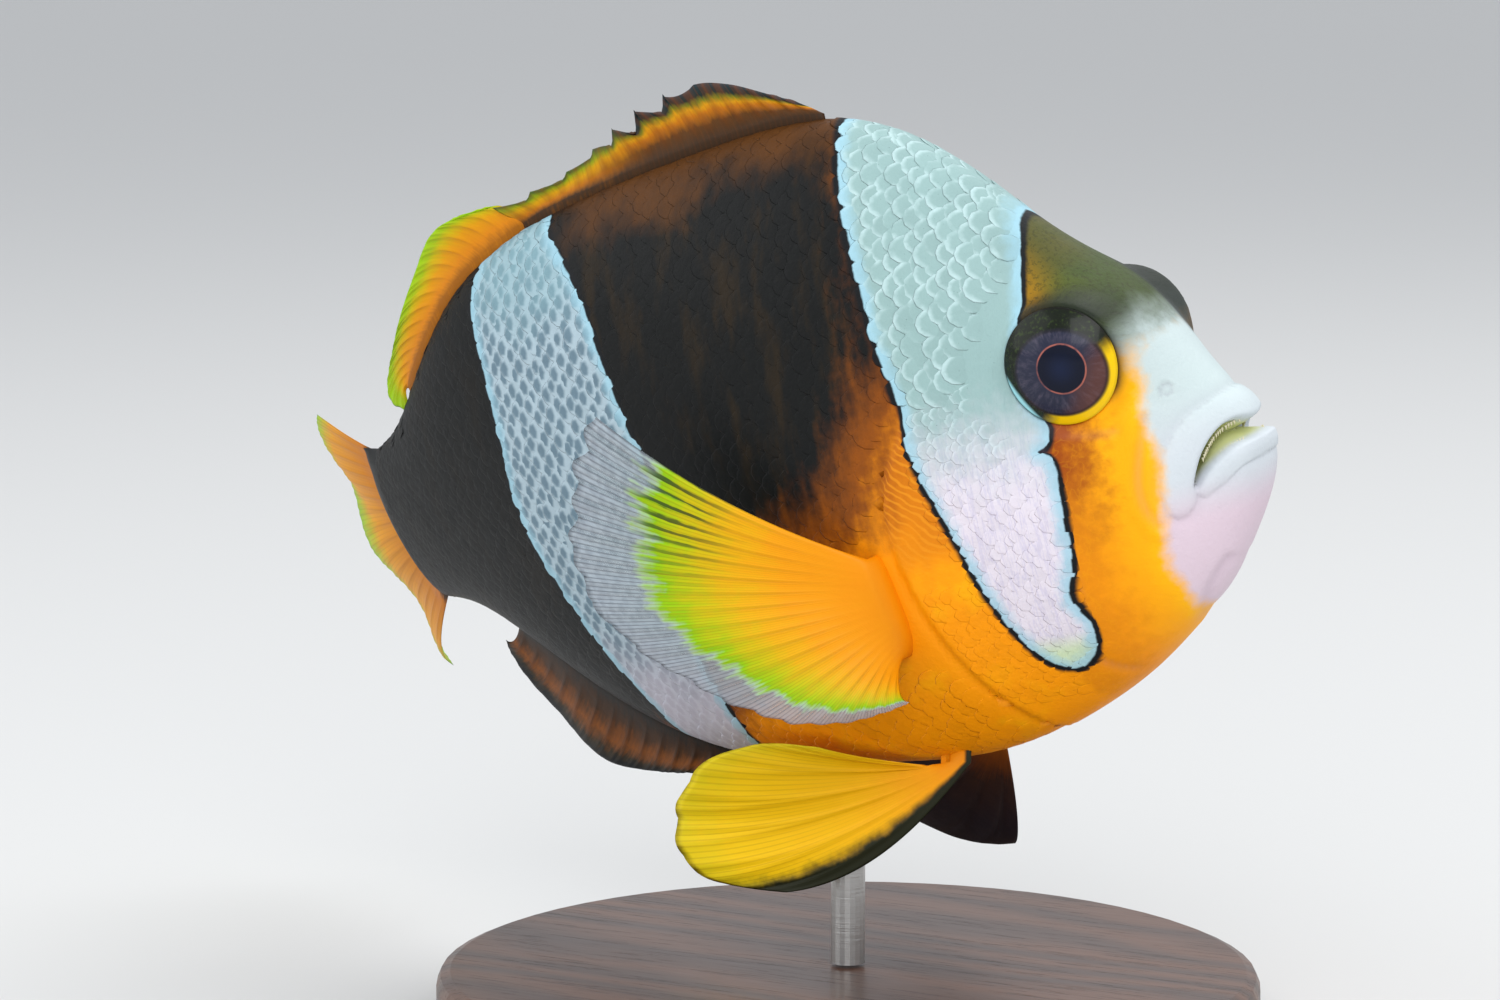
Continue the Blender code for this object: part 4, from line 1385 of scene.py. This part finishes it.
@dataclass
class Fins:
    """All the fins, drawn close to the solids' roots and margins."""

    clear: float = 0.35
    bow: float = 0.8
    sink: float = 1.6
    spiny_ends: Span = (36.6, 67.9)
    soft_ends: Span = (67.6, 88.4)
    anal_ends: Span = (61.5, 87.5)
    tail_top: Span = (99.3, 5.3)
    tail_run: Span = (0.8, -15.2)
    pectoral_clear: float = 1.1
    pectoral_out: float = 1.4
    pectoral_drop: float = 1.2
    pelvic_clear: float = 0.9
    pelvic_out: float = 0.6
    pelvic_drop: float = 2.4
    search: int = 60
    search_step: float = 0.1
    pectoral_line: Curve = field(default_factory=lambda: even_curve(
        ((35.2, -5.2), (35.0, -9.8), (35.2, -14.6))))
    pelvic_line: Curve = field(default_factory=lambda: even_curve(((37.6, 3.2), (34.4, 3.4))))
    spiny_margin: Triples = ((38.5, 0, 31.9), (45.0, 0, 34.8), (51.0, 0, 34.9), (56.5, 0, 32.8),
                             (62.0, 0, 29.7), (70.4, 0, 27.7))
    soft_margin: Triples = ((71.0, 0, 27.6), (77.5, 0, 26.4), (82.5, 0, 21.8), (87.5, 0, 16.6),
                            (91.9, 0, 11.7), (89.4, 0, 9.4))
    anal_margin: Triples = ((64.5, 0, -26.2), (71.0, 0, -26.9), (78.5, 0, -26.9),
                            (85.0, 0, -24.6), (90.0, 0, -19.9), (92.0, 0, -14.5))
    tail_margin: Triples = ((120.5, 1.2, 7.2), (123.5, 0.6, 3.9), (120.5, -0.6, -0.5),
                            (118.3, -1.6, -5.5), (120.5, -2.2, -11.1), (124.0, -2.6, -16.9),
                            (121.5, -3.0, -20.9))
    pectoral_margin: Triples = ((55.0, 16.2, 12.6), (58.0, 18.5, 4.0), (57.0, 19.5, -4.0),
                                (51.5, 19.5, -10.8), (44.0, 18.0, -16.2), (37.6, 15.5, -18.0),
                                (33.2, 13.0, -17.4))
    near_pelvic: Triples = ((47.0, 7.5, -21.9), (56.0, 8.5, -21.3), (62.5, 9.0, -25.2),
                            (63.8, 9.6, -29.0), (61.0, 9.5, -33.0), (53.5, 8.8, -34.6))
    far_pelvic: Triples = ((48.0, 8.0, -27.0), (55.5, 11.0, -29.0), (58.5, 13.0, -32.5),
                           (56.0, 14.0, -36.0), (49.5, 14.0, -38.2), (41.5, 12.5, -38.0))

    def tail_root(self, q: Array) -> Array:
        """The root of the tail fin, across the end of the stalk."""
        u, w = (top + run * q for top, run in zip(self.tail_top, self.tail_run))
        return np.stack((u, 0 * q, w), -1)

    def tail_bow(self, q: Array) -> Array:
        """The tail's upper rays bow upward and its lower ones downward."""
        return np.stack((0 * q, 0 * q, self.bow * (1 - 2 * q)), -1)

    def pectoral_root(self, q: Array) -> Array:
        """The root of the left pectoral fin, just off the flank."""
        u, w = np.moveaxis(self.pectoral_line(q), -1, 0)
        return np.stack((u, BODY.flank(u, w) + self.pectoral_clear, w), -1)

    def pectoral_bow(self, q: Array) -> Array:
        """The pectoral rays arch outward and spread at their middles."""
        drop = -self.pectoral_drop * (1 - q) ** 4 - self.bow * q * q
        return np.stack((0 * q, self.pectoral_out + 0 * q, drop), -1)

    def pelvic_root(self, q: Array) -> Array:
        """The root of the left pelvic fin, just under the belly."""
        u, v = np.moveaxis(self.pelvic_line(q), -1, 0)
        low = BODY.belly(u)
        for _ in range(self.search):
            low = np.where(BODY.flank(u, low) < v, low + self.search_step, low)
        return np.stack((u, v, low - self.pelvic_clear), -1)

    def median(self) -> list[Fin]:
        """The dorsal, anal and tail fins."""
        down, up = (0, 0, -self.sink), (0, 0, self.sink)
        return [
            SpinyFin("spiny_dorsal", edge_root(self.spiny_ends, BODY.back, self.clear),
                     even_curve(self.spiny_margin), fan_bow(0.0, 0.0), down, 10,
                     FIN_PAINTS["spiny_dorsal"], Tile(0.0, 0.0, 0.24, 0.2), cells=12, rows=22,
                     branch_from=2.0, fray=0.01, ray_size=0.6, base=1.3, base_fade=0.5),
            Fin("soft_dorsal", edge_root(self.soft_ends, BODY.back, self.clear),
                even_curve(self.soft_margin), fan_bow(0.0, self.bow), down, 15,
                FIN_PAINTS["soft_dorsal"], Tile(0.25, 0.0, 0.18, 0.2), base=1.0, base_fade=0.4),
            Fin("anal", edge_root(self.anal_ends, BODY.belly, -self.clear),
                even_curve(self.anal_margin), fan_bow(0.0, -self.bow), up, 14,
                FIN_PAINTS["anal"], Tile(0.44, 0.0, 0.18, 0.2), base=1.0, base_fade=0.4),
            Fin("tail", self.tail_root, even_curve(self.tail_margin), self.tail_bow, (-3, 0, 0),
                16, FIN_PAINTS["tail"], Tile(0.63, 0.0, 0.3, 0.2), rows=34, base=2.6, ripple=0.5),
        ]

    def paired(self) -> list[Fin]:
        """The pectoral and pelvic fins of both sides; the far pelvic fin is the left one."""
        # The left, far pelvic fin takes the paint darkened with painted shade.
        pelvic = {Side.LEFT: (self.far_pelvic, "far_pelvic"),
                  Side.RIGHT: (self.near_pelvic, "near_pelvic")}
        made = []
        for i, side in enumerate(Side):
            name = side.name.lower()
            margin, paint = pelvic[side]
            made.append(Fin(
                f"pectoral_{name}", self.pectoral_root, even_curve(self.pectoral_margin),
                self.pectoral_bow, (-0.6, -2.6, 0), 19, FIN_PAINTS["pectoral"],
                Tile(0.5 * i, 0.21, 0.3, 0.12), side.value, rows=34, base=1.7, web=0.14,
                fray=0.035))
            made.append(Fin(
                f"pelvic_{name}", self.pelvic_root, even_curve(margin),
                fan_bow(self.pelvic_out, 0.0, -self.pelvic_drop), (-0.5, -0.4, 2.6), 6,
                FIN_PAINTS[paint], Tile(0.31 + 0.5 * i, 0.21, 0.17, 0.12), side.value, cells=12,
                rows=30, ray_size=0.32))
        return made

    def build(self) -> list[bpy.types.Object]:
        """Make every fin."""
        return [fin.build() for fin in self.median() + self.paired()]


@dataclass
class Skin:
    """One skin over the whole fish, in place of all its nodes of flesh."""

    nodes: tuple[str, ...] = (
        "head", "lower_jaw", "trunk", "tail_stalk", "dorsal_fin_front", "dorsal_fin_rear",
        "anal_fin", "tail_fin", "pectoral_fin_left", "pectoral_fin_right", "pelvic_fin_left",
        "pelvic_fin_right",
    )
    rings: tuple[int, ...] = (14, 12, 13, 14, 15, 18, 20, 24, 14, 14, 12, 11, 8, 7)
    angles: int = 252
    cap: Pairs = ((1.4, 0.8), (2.6, 0.45), (3.3, 0.0))

    def rows(self) -> Array:
        """The sections at which the skin has a ring of points."""
        parts = [i + np.arange(n) / n for i, n in enumerate(self.rings)]
        return np.concatenate((*parts, [float(BODY.last)]))

    def capped(self, values: Array) -> Array:
        """Values of the rings, with those of the last one repeated over the cap."""
        return np.concatenate((values, *[values[-1:]] * len(self.cap)))

    def build(self) -> bpy.types.Object:
        """Make the skin of the body, with its folds, and join the fins to it."""
        angle = np.linspace(-pi / 2, 3 * pi / 2, self.angles + 1)
        section, turn = np.meshgrid(self.rows(), angle, indexing="ij")
        plain = BODY.point(section, turn)
        normal = normals_of(plain)
        normal *= np.sign((normal[..., 1] * plain[..., 1]).sum())
        normal[:, -1] = normal[:, 0] = (normal[:, 0] + normal[:, -1]) / 2
        normal[0] = (-1.0, 0.0, 0.0)
        points, values = RELIEF.shape(plain, normal, MARKINGS)
        points[0] = points[0].mean(0)
        ends = [points[-1:] * (1, narrow, 1) + (on, 0, 0) for on, narrow in self.cap]
        points = np.concatenate((points, *ends))
        values = {key: self.capped(numbers) for key, numbers in values.items()}
        values["place"] = self.capped(plain)
        thing = shell("fish_skin", points, values, Tile(0.0, 0.35, 1.0, 0.65))
        mesh = thing.data
        place = take_points(mesh, "place")
        MARKINGS.paint(mesh, place, place)
        mesh.materials.append(FishPaint().make(scaled=False))
        select([thing, *Fins().build()])
        bpy.ops.object.join()
        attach(thing, "root")
        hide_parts(*self.nodes)
        log.info("fish_skin: %d faces with its fins", len(mesh.polygons))
        return thing


@dataclass(frozen=True)
class BodyCover:
    """Where the larger scales lie: behind the head's bare front and the gill cover."""

    off_gill: float = 1.4
    off_eye: float = 7.9
    inside_bar: float = 0.5
    nape_low: float = 7.5
    trunk_low: float = 9.5
    trunk_from: float = 26.0
    by_fin: tuple[float, float, float] = (37.5, -16.5, -3.5)

    def __call__(self, points: Array) -> Array:
        """Whether each point has a scale."""
        u, _, w = np.moveaxis(points, -1, 0)
        behind_gill = (MARKINGS.gill_side(u, w) < -self.off_gill) & (u > self.trunk_from)
        nape = (MARKINGS.head_bar.side(u, w) > self.inside_bar) & (w > self.nape_low)
        nape &= RELIEF.eye_distance(points) > self.off_eye
        trunk = (MARKINGS.bar_middle.side(u, w) < 0) & (w > self.trunk_low)
        back, low, high = self.by_fin
        by_fin = (u < back) & (w < high) & (w > low)
        return nape | trunk | (behind_gill & ~by_fin)


@dataclass(frozen=True)
class GillCover:
    """Where the small scales lie: on the gill cover, up to the larger ones."""

    inside_gill: float = 1.3
    off_eye: float = 2.9
    off_bar: float = 0.4
    cheek_off_bar: float = 0.3
    cheek_low: float = -9.0
    cheek_top: float = 8.2
    rear_levels: Span = (-20.0, 10.2)

    def __call__(self, points: Array) -> Array:
        """Whether each point has a scale."""
        u, _, w = np.moveaxis(points, -1, 0)
        bar, middle = MARKINGS.head_bar.side(u, w), MARKINGS.bar_middle.side(u, w)
        cover = MARKINGS.gill_side(u, w) > self.inside_gill
        cover &= (bar > -self.off_bar) | (middle > 0) | (w < self.cheek_low)
        ahead = RELIEF.eye_distance(points) > RELIEF.eye_radius + self.off_eye
        ahead &= (bar > -self.cheek_off_bar) & (w < self.cheek_top)
        low, high = self.rear_levels
        return cover & (ahead | ((middle < 0) & (w < high) & (w > low)))


@dataclass
class Scales:
    """A field of overlapping scales in staggered rows, made a side at a time.

    A scale's length and overlap are shares of the spacing between columns and rows. Its
    own places run from -1 to 1, with its hidden root at -1 along x.
    """

    name: str
    first: float
    last: float
    pitch: float
    column: float
    covers: BodyCover | GillCover
    full_until: float = 10.0
    tail_share: float = 0.62
    lift: float = 0.034
    sink: float = 0.13
    length: float = 1.9
    overlap: float = 0.64
    thick: float = 0.022
    underside: float = 0.11
    segments: int = 12
    rings: int = 6
    patch: float = 0.003
    seed: int = 7
    places: int = 1200
    samples: int = 240
    most_rows: int = 60
    nudge: float = 1e-3
    flattest: float = 1e-4
    farthest: Span = (0.5, 0.6)
    jitter: float = 0.012
    size_jitter: float = 0.05
    tilt_jitter: float = 0.25
    plain_lift: float = 0.8
    bar_lift: float = 1.5
    on_bar: Span = (-1.0, 0.8)
    bar_low: Span = (-19.0, -6.0)
    off_eye: Span = (7.0, 11.5)
    rear_from: Span = (-0.6, 0.3)
    oval_at: float = 0.64
    oval_size: Span = (0.36, 0.58)
    mark_shares: Span = (0.7, 0.3)

    def template(self) -> tuple[Array, list[list[int]]]:
        """One scale: a thin lens of radius 1 whose underside is drawn to a point.

        Returns:
            Its points, and its faces as lists of their numbers.
        """
        select([])
        bpy.ops.mesh.primitive_uv_sphere_add(segments=self.segments, ring_count=self.rings, radius=1)
        thing = bpy.context.object
        bpy.ops.object.mode_set(mode="EDIT")
        bpy.ops.mesh.select_all(action="SELECT")
        bpy.ops.transform.resize(value=(1.0, 1.0, self.thick))
        bpy.ops.object.mode_set(mode="OBJECT")
        for vert in thing.data.vertices:
            if vert.co.z < -self.thick * self.underside:
                vert.co = (0.0, 0.0, -self.thick)
        bpy.ops.object.mode_set(mode="EDIT")
        bpy.ops.mesh.remove_doubles(threshold=MERGE)
        bpy.ops.object.mode_set(mode="OBJECT")
        points = np.array([vert.co for vert in thing.data.vertices])
        reach = np.maximum(np.hypot(points[:, 0], points[:, 1]), MERGE)
        points[:, :2] /= np.sqrt(reach)[:, None]
        faces = [list(face.vertices) for face in thing.data.polygons]
        bpy.data.objects.remove(thing)
        return points, faces

    def size_at(self, section: Array) -> Array:
        """How large scales are at a section, as a share of the largest."""
        return 1 - (1 - self.tail_share) * smooth(section, self.full_until, BODY.last)

    def roots(self) -> tuple[Array, Array]:
        """Sections and angles of the scales on the fish's left."""
        fine = np.linspace(self.first, self.last, self.places)
        middle = BODY.point(fine, 0 * fine)
        travel = np.linalg.norm(np.diff(middle, axis=0), axis=1) / self.size_at(fine[1:])
        travel = np.concatenate(([0.0], np.cumsum(travel)))
        columns = np.interp(np.arange(0, travel[-1], self.column), travel, fine)
        angle = np.linspace(-pi / 2, pi / 2, self.samples + 1)
        sections, angles = [], []
        for k, section in enumerate(columns):
            ring = BODY.point(np.full(len(angle), section), angle)
            arc = np.concatenate(([0.0], np.cumsum(np.linalg.norm(np.diff(ring, axis=0), axis=1))))
            arc -= arc[self.samples // 2]
            pitch = self.pitch * self.size_at(section)
            rows = np.arange(-self.most_rows, self.most_rows) + 0.5 * (k % 2)
            places = rows[(rows * pitch > arc[0]) & (rows * pitch < arc[-1])] * pitch
            sections.append(np.full(len(places), section))
            angles.append(np.interp(places, arc, angle))
        return np.concatenate(sections), np.concatenate(angles)

    def laid(self, section: Array, angle: Array, tilt: Array, local: Array) -> tuple[Array, Array]:
        """Lay the scale's points on the body at each root.

        Args:
            section: Sections of the roots.
            angle: Angles of the roots.
            tilt: How many times the usual lift each scale has.
            local: The scale's points in millimetres for each root: back, up and out.

        Returns:
            The laid points, and the roots' own points, of the straight fish.
        """
        step = self.nudge
        root = BODY.point(section, angle)
        along = (BODY.point(section + step, angle) - BODY.point(section - step, angle)) / (2 * step)
        over = (BODY.point(section, angle + step) - BODY.point(section, angle - step)) / (2 * step)
        normal = np.cross(along, over)
        normal /= np.linalg.norm(normal, axis=-1, keepdims=True)
        flip = np.sign((normal * root * (0, 1, 0)).sum(-1, keepdims=True))
        normal *= np.where(flip == 0, 1, flip)
        back = np.array((1.0, 0.0, 0.0)) - normal * normal[:, :1]
        back /= np.linalg.norm(back, axis=-1, keepdims=True)
        up = np.cross(normal, back)
        x, y, z = np.moveaxis(local, -1, 0)
        # The steps in section and angle that bring each root to the wanted places.
        wanted = x[..., None] * back[:, None] + y[..., None] * up[:, None]
        along_square = (along * along).sum(-1)[:, None]
        both = (along * over).sum(-1)[:, None]
        over_square = (over * over).sum(-1)[:, None]
        wanted_along = (wanted * along[:, None]).sum(-1)
        wanted_over = (wanted * over[:, None]).sum(-1)
        base = np.maximum(along_square * over_square - both * both, self.flattest)
        more_section = (wanted_along * over_square - wanted_over * both) / base
        more_angle = (wanted_over * along_square - wanted_along * both) / base
        farthest_on, farthest_round = self.farthest
        points = BODY.point(section[:, None] + np.clip(more_section, -farthest_on, farthest_on),
                            angle[:, None] + np.clip(more_angle, -farthest_round, farthest_round))
        rise = RELIEF.gill_height(points, MARKINGS) - RELIEF.inset
        share = (1 + x / np.abs(x).max(1, keepdims=True)) / 2
        lift = self.lift * tilt[:, None] * share - self.sink * (1 - share) ** 3
        return points + normal[:, None] * (rise + lift + z)[..., None], root

    def proud(self, section: Array, angle: Array) -> Array:
        """How boldly each scale stands up: the most on the front bar, away from the eye."""
        points = BODY.point(section, angle)
        u, _, w = points.T
        on_bar = smooth(MARKINGS.head_bar.side(u, w), *self.on_bar) * smooth(w, *self.bar_low)
        off_eye = smooth(RELIEF.eye_distance(points), *self.off_eye)
        return self.plain_lift + self.bar_lift * on_bar * off_eye

    def mark(self, mesh: bpy.types.Mesh, template: Array, points: Array, root: Array) -> None:
        """Write what the paint reads on the vertices.

        Args:
            mesh: The mesh of all the scales.
            template: The points of one scale.
            points: The laid points of the straight fish, scale by scale.
            root: The root of each scale.
        """
        count, each = points.shape[:2]
        flat = points.reshape(-1, 3)
        own, roots = self.mark_shares
        MARKINGS.paint(mesh, flat, flat * own + np.repeat(root, each, 0) * roots)
        x, y = template[:, 0], template[:, 1]
        write(mesh, "edge", np.tile(np.hypot(x, y) * smooth(x, *self.rear_from), count))
        oval = np.hypot((x - self.oval_at) / self.oval_size[0], y / self.oval_size[1])
        write(mesh, "oval", np.tile(oval, count))

    def build(self, side: Side) -> bpy.types.Object:
        """Make the scales of one side as one mesh."""
        template, faces = self.template()
        section, angle = self.roots()
        angle = angle if side is Side.LEFT else pi - angle
        keep = self.covers(BODY.point(section, angle))
        section, angle = section[keep], angle[keep]
        count, each = len(section), len(template)
        random = np.random.default_rng(self.seed)
        size = self.size_at(section) * (1 + self.size_jitter * random.standard_normal(count))
        cell = random.random(count)
        section = section + self.jitter * random.standard_normal(count)
        angle = angle + self.jitter / 2 * random.standard_normal(count)
        tilt = 1 + self.tilt_jitter * random.standard_normal(count)
        proud = self.proud(section, angle)
        scale = np.array((self.column * self.length, self.pitch * self.overlap, 1.0))
        local = template[None] * scale * size[:, None, None]
        local[..., 2] *= np.sqrt(proud)[:, None]
        points, root = self.laid(section, angle, tilt * proud, local)
        offsets = (np.arange(count) * each)[:, None]
        polygons = [row for face in faces for row in (offsets + np.array(face)).tolist()]
        mesh = bpy.data.meshes.new(f"{self.name}_{side.name.lower()}")
        mesh.from_pydata(POSE.place(points).reshape(-1, 3), [], polygons)
        self.mark(mesh, template, points, root)
        write(mesh, "cell", np.repeat(cell, each))
        spot = np.stack((section / BODY.last, (angle + pi / 2) % tau / tau), -1)
        patch = spot[:, None] + template[:, :2] * self.patch / 2
        corners = np.empty(len(mesh.loops), np.int32)
        mesh.loops.foreach_get("vertex_index", corners)
        layer = mesh.uv_layers.new(name="OFBake")
        layer.uv.foreach_set("vector", patch.reshape(-1, 2)[corners].astype(np.float32).ravel())
        thing = bpy.data.objects.new(mesh.name, mesh)
        bpy.context.scene.collection.objects.link(thing)
        select([thing])
        finish_shell(thing)
        mesh.materials.append(FishPaint().make(scaled=True))
        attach(thing, "root")
        log.info("%s: %d scales", thing.name, count)
        return thing


@dataclass
class Eye:
    """One eye: a low dome in its socket."""

    side: Side
    dome: float = 1.75
    dome_power: float = 2.3
    behind: float = 1.5
    segments: int = 72
    rings: int = 48

    def build(self) -> bpy.types.Object:
        """Make the eye in place of its solid."""
        select([])
        bpy.ops.mesh.primitive_uv_sphere_add(segments=self.segments, ring_count=self.rings, radius=1)
        thing = bpy.context.object
        name = self.side.name.lower()
        thing.name = f"eyeball_{name}"
        unit = np.array([vert.co for vert in thing.data.vertices])
        reach = np.hypot(unit[:, 0], unit[:, 1])
        front = self.dome * (1 - reach ** self.dome_power)
        behind = -self.behind * np.sqrt(np.clip(1 - reach ** 2, 0, None))
        out = np.where(unit[:, 2] > 0, front, behind)
        u, w = RELIEF.eye_radius * unit[:, 0], RELIEF.eye_radius * unit[:, 1]
        write(thing.data, "eye_place", np.stack((u, w, out), -1))
        turn = RELIEF.toe_in
        u, out = u * cos(turn) - out * sin(turn), u * sin(turn) + out * cos(turn)
        at = RELIEF.eye_at
        points = np.stack((at[0] + u, self.side.value * (at[1] + out), at[2] + w), -1)
        thing.data.vertices.foreach_set("co", POSE.place(points).ravel())
        finish_shell(thing)
        thing.data.materials.append(EyePaint().make())
        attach(thing, "root")
        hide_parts(f"eye_{name}")
        return thing


@dataclass
class Teeth:
    """A row of small teeth along each jaw, inside the lips."""

    lower: Pairs = ((3.2, -0.95), (4.4, -1.4), (5.5, -2.2), (6.2, -2.9))
    upper: Pairs = ((3.5, 0.75), (4.8, 0.2), (5.7, -0.8), (6.3, -1.8))
    count: int = 18
    ends: Span = (0.02, 0.98)
    back: float = 0.5
    inward: float = 0.95
    least: float = 0.1
    rise: float = 0.1
    height: float = 0.4
    radius: float = 0.13
    taper: float = 5.0
    sides: int = 8

    def build(self) -> bpy.types.Object:
        """Make one tooth, and copy it along both jaws on both sides."""
        select([])
        bpy.ops.mesh.primitive_cone_add(vertices=self.sides, radius1=self.radius,
                                        radius2=self.radius / self.taper, depth=self.height)
        first = bpy.context.object
        unit = np.array([vert.co for vert in first.data.vertices])
        teeth = []
        for line, up in ((self.lower, 1), (self.upper, -1)):
            path = Line(line, step=0.1).path
            for share in np.linspace(*self.ends, self.count):
                u, w = path[int(share * (len(path) - 1))]
                v = BODY.flank(np.array(u), np.array(w)) - self.inward
                for side in Side:
                    tooth = first.copy()
                    tooth.data = first.data.copy()
                    spot = (u + self.back, side.value * max(v, self.least), w + self.rise * up)
                    points = unit * (1, 1, up) + np.array(spot)
                    tooth.data.vertices.foreach_set("co", POSE.place(points).ravel())
                    bpy.context.scene.collection.objects.link(tooth)
                    teeth.append(tooth)
        bpy.data.objects.remove(first)
        select(teeth)
        bpy.ops.object.join()
        thing = bpy.context.object
        thing.name = "teeth"
        finish_shell(thing)
        thing.data.materials.append(ToothPaint().make())
        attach(thing, "root")
        return thing


@dataclass
class Stand:
    """The display stand, whose solids stay and get their finish."""

    def dress(self) -> None:
        """Give the base its wood and the rod its steel."""
        for node, finish in (("stand_base", WoodPaint()), ("stand_rod", SteelPaint())):
            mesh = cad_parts[node].data
            mesh.materials.clear()
            mesh.materials.append(finish.make())
            log.info("%s: finished as %s", node, mesh.materials[0].name)


@dataclass
class Studio:
    """A plain pale floor, soft lights, each with its place, size and power, and the camera."""

    aim: tuple[float, float, float] = (-0.0058, -0.0071, 0.0476)
    azimuth: float = radians(30.0)
    elevation: float = radians(8.0)
    distance: float = 0.45
    lens: float = 125.8
    clip_start: float = 0.01
    floor_radius: float = 30.0
    floor_sides: int = 96
    floor_roughness: float = 0.75
    pale: Colour = (0.62, 0.62, 0.61)
    sky: Colour = (0.92, 0.95, 1.0)
    sky_strength: float = 0.8
    lights: tuple = (
        ((0.28, -0.5, 0.42), 0.4, 2.3),
        ((-0.45, -0.35, 0.3), 0.5, 1.1),
        ((0.1, 0.25, 0.6), 0.6, 2.2),
    )

    def from_angle(self, azimuth: float, elevation: float, distance: float) -> Vector:
        """A place at an angle and distance from the aim."""
        away = Vector((sin(azimuth) * cos(elevation), -cos(azimuth) * cos(elevation), sin(elevation)))
        return Vector(self.aim) + away * distance

    def build(self) -> None:
        """Set up the floor, the world, the lights and the camera."""
        select([])
        bpy.ops.mesh.primitive_circle_add(vertices=self.floor_sides, radius=self.floor_radius,
                                          fill_type="NGON")
        floor = bpy.context.object
        floor.name = "floor"
        p = Paint("floor_paint")
        p.set(Base_Color=self.pale, Roughness=self.floor_roughness)
        floor.data.materials.append(p.material)
        world = bpy.data.worlds.new("studio")
        world.use_nodes = True
        background = world.node_tree.nodes["Background"]
        background.inputs["Color"].default_value = (*self.sky, 1.0)
        background.inputs["Strength"].default_value = self.sky_strength
        bpy.context.scene.world = world
        bpy.context.scene.view_settings.view_transform = "Standard"
        for place, size, power in self.lights:
            bpy.ops.object.light_add(type="AREA", location=place)
            light = bpy.context.object
            light.data.size = size
            light.data.energy = power
            toward = Vector(self.aim) - Vector(place)
            light.rotation_euler = toward.to_track_quat("-Z", "Y").to_euler()
        place = self.from_angle(self.azimuth, self.elevation, self.distance)
        bpy.ops.object.camera_add(location=place)
        camera = bpy.context.object
        camera.rotation_euler = (Vector(self.aim) - place).to_track_quat("-Z", "Y").to_euler()
        camera.data.lens = self.lens
        camera.data.clip_start = self.clip_start
        bpy.context.scene.camera = camera


def main() -> None:
    """Build every piece of the fish, dress its stand and light it."""
    logging.basicConfig(level=logging.INFO, format="%(name)s: %(message)s")
    Studio().build()
    Stand().dress()
    Skin().build()
    for side in Side:
        Eye(side).build()
    Teeth().build()
    fields = (
        Scales("body_scales", first=6.0, last=BODY.last - 0.15, pitch=1.95, column=0.88,
               covers=BodyCover()),
        Scales("gill_scales", first=4.6, last=8.4, pitch=1.15, column=0.7, covers=GillCover(),
               lift=0.012, sink=0.05, thick=0.009, length=1.7, segments=8),
    )
    for side in Side:
        for kind in fields:
            kind.build(side)


if __name__ == "__main__":
    main()
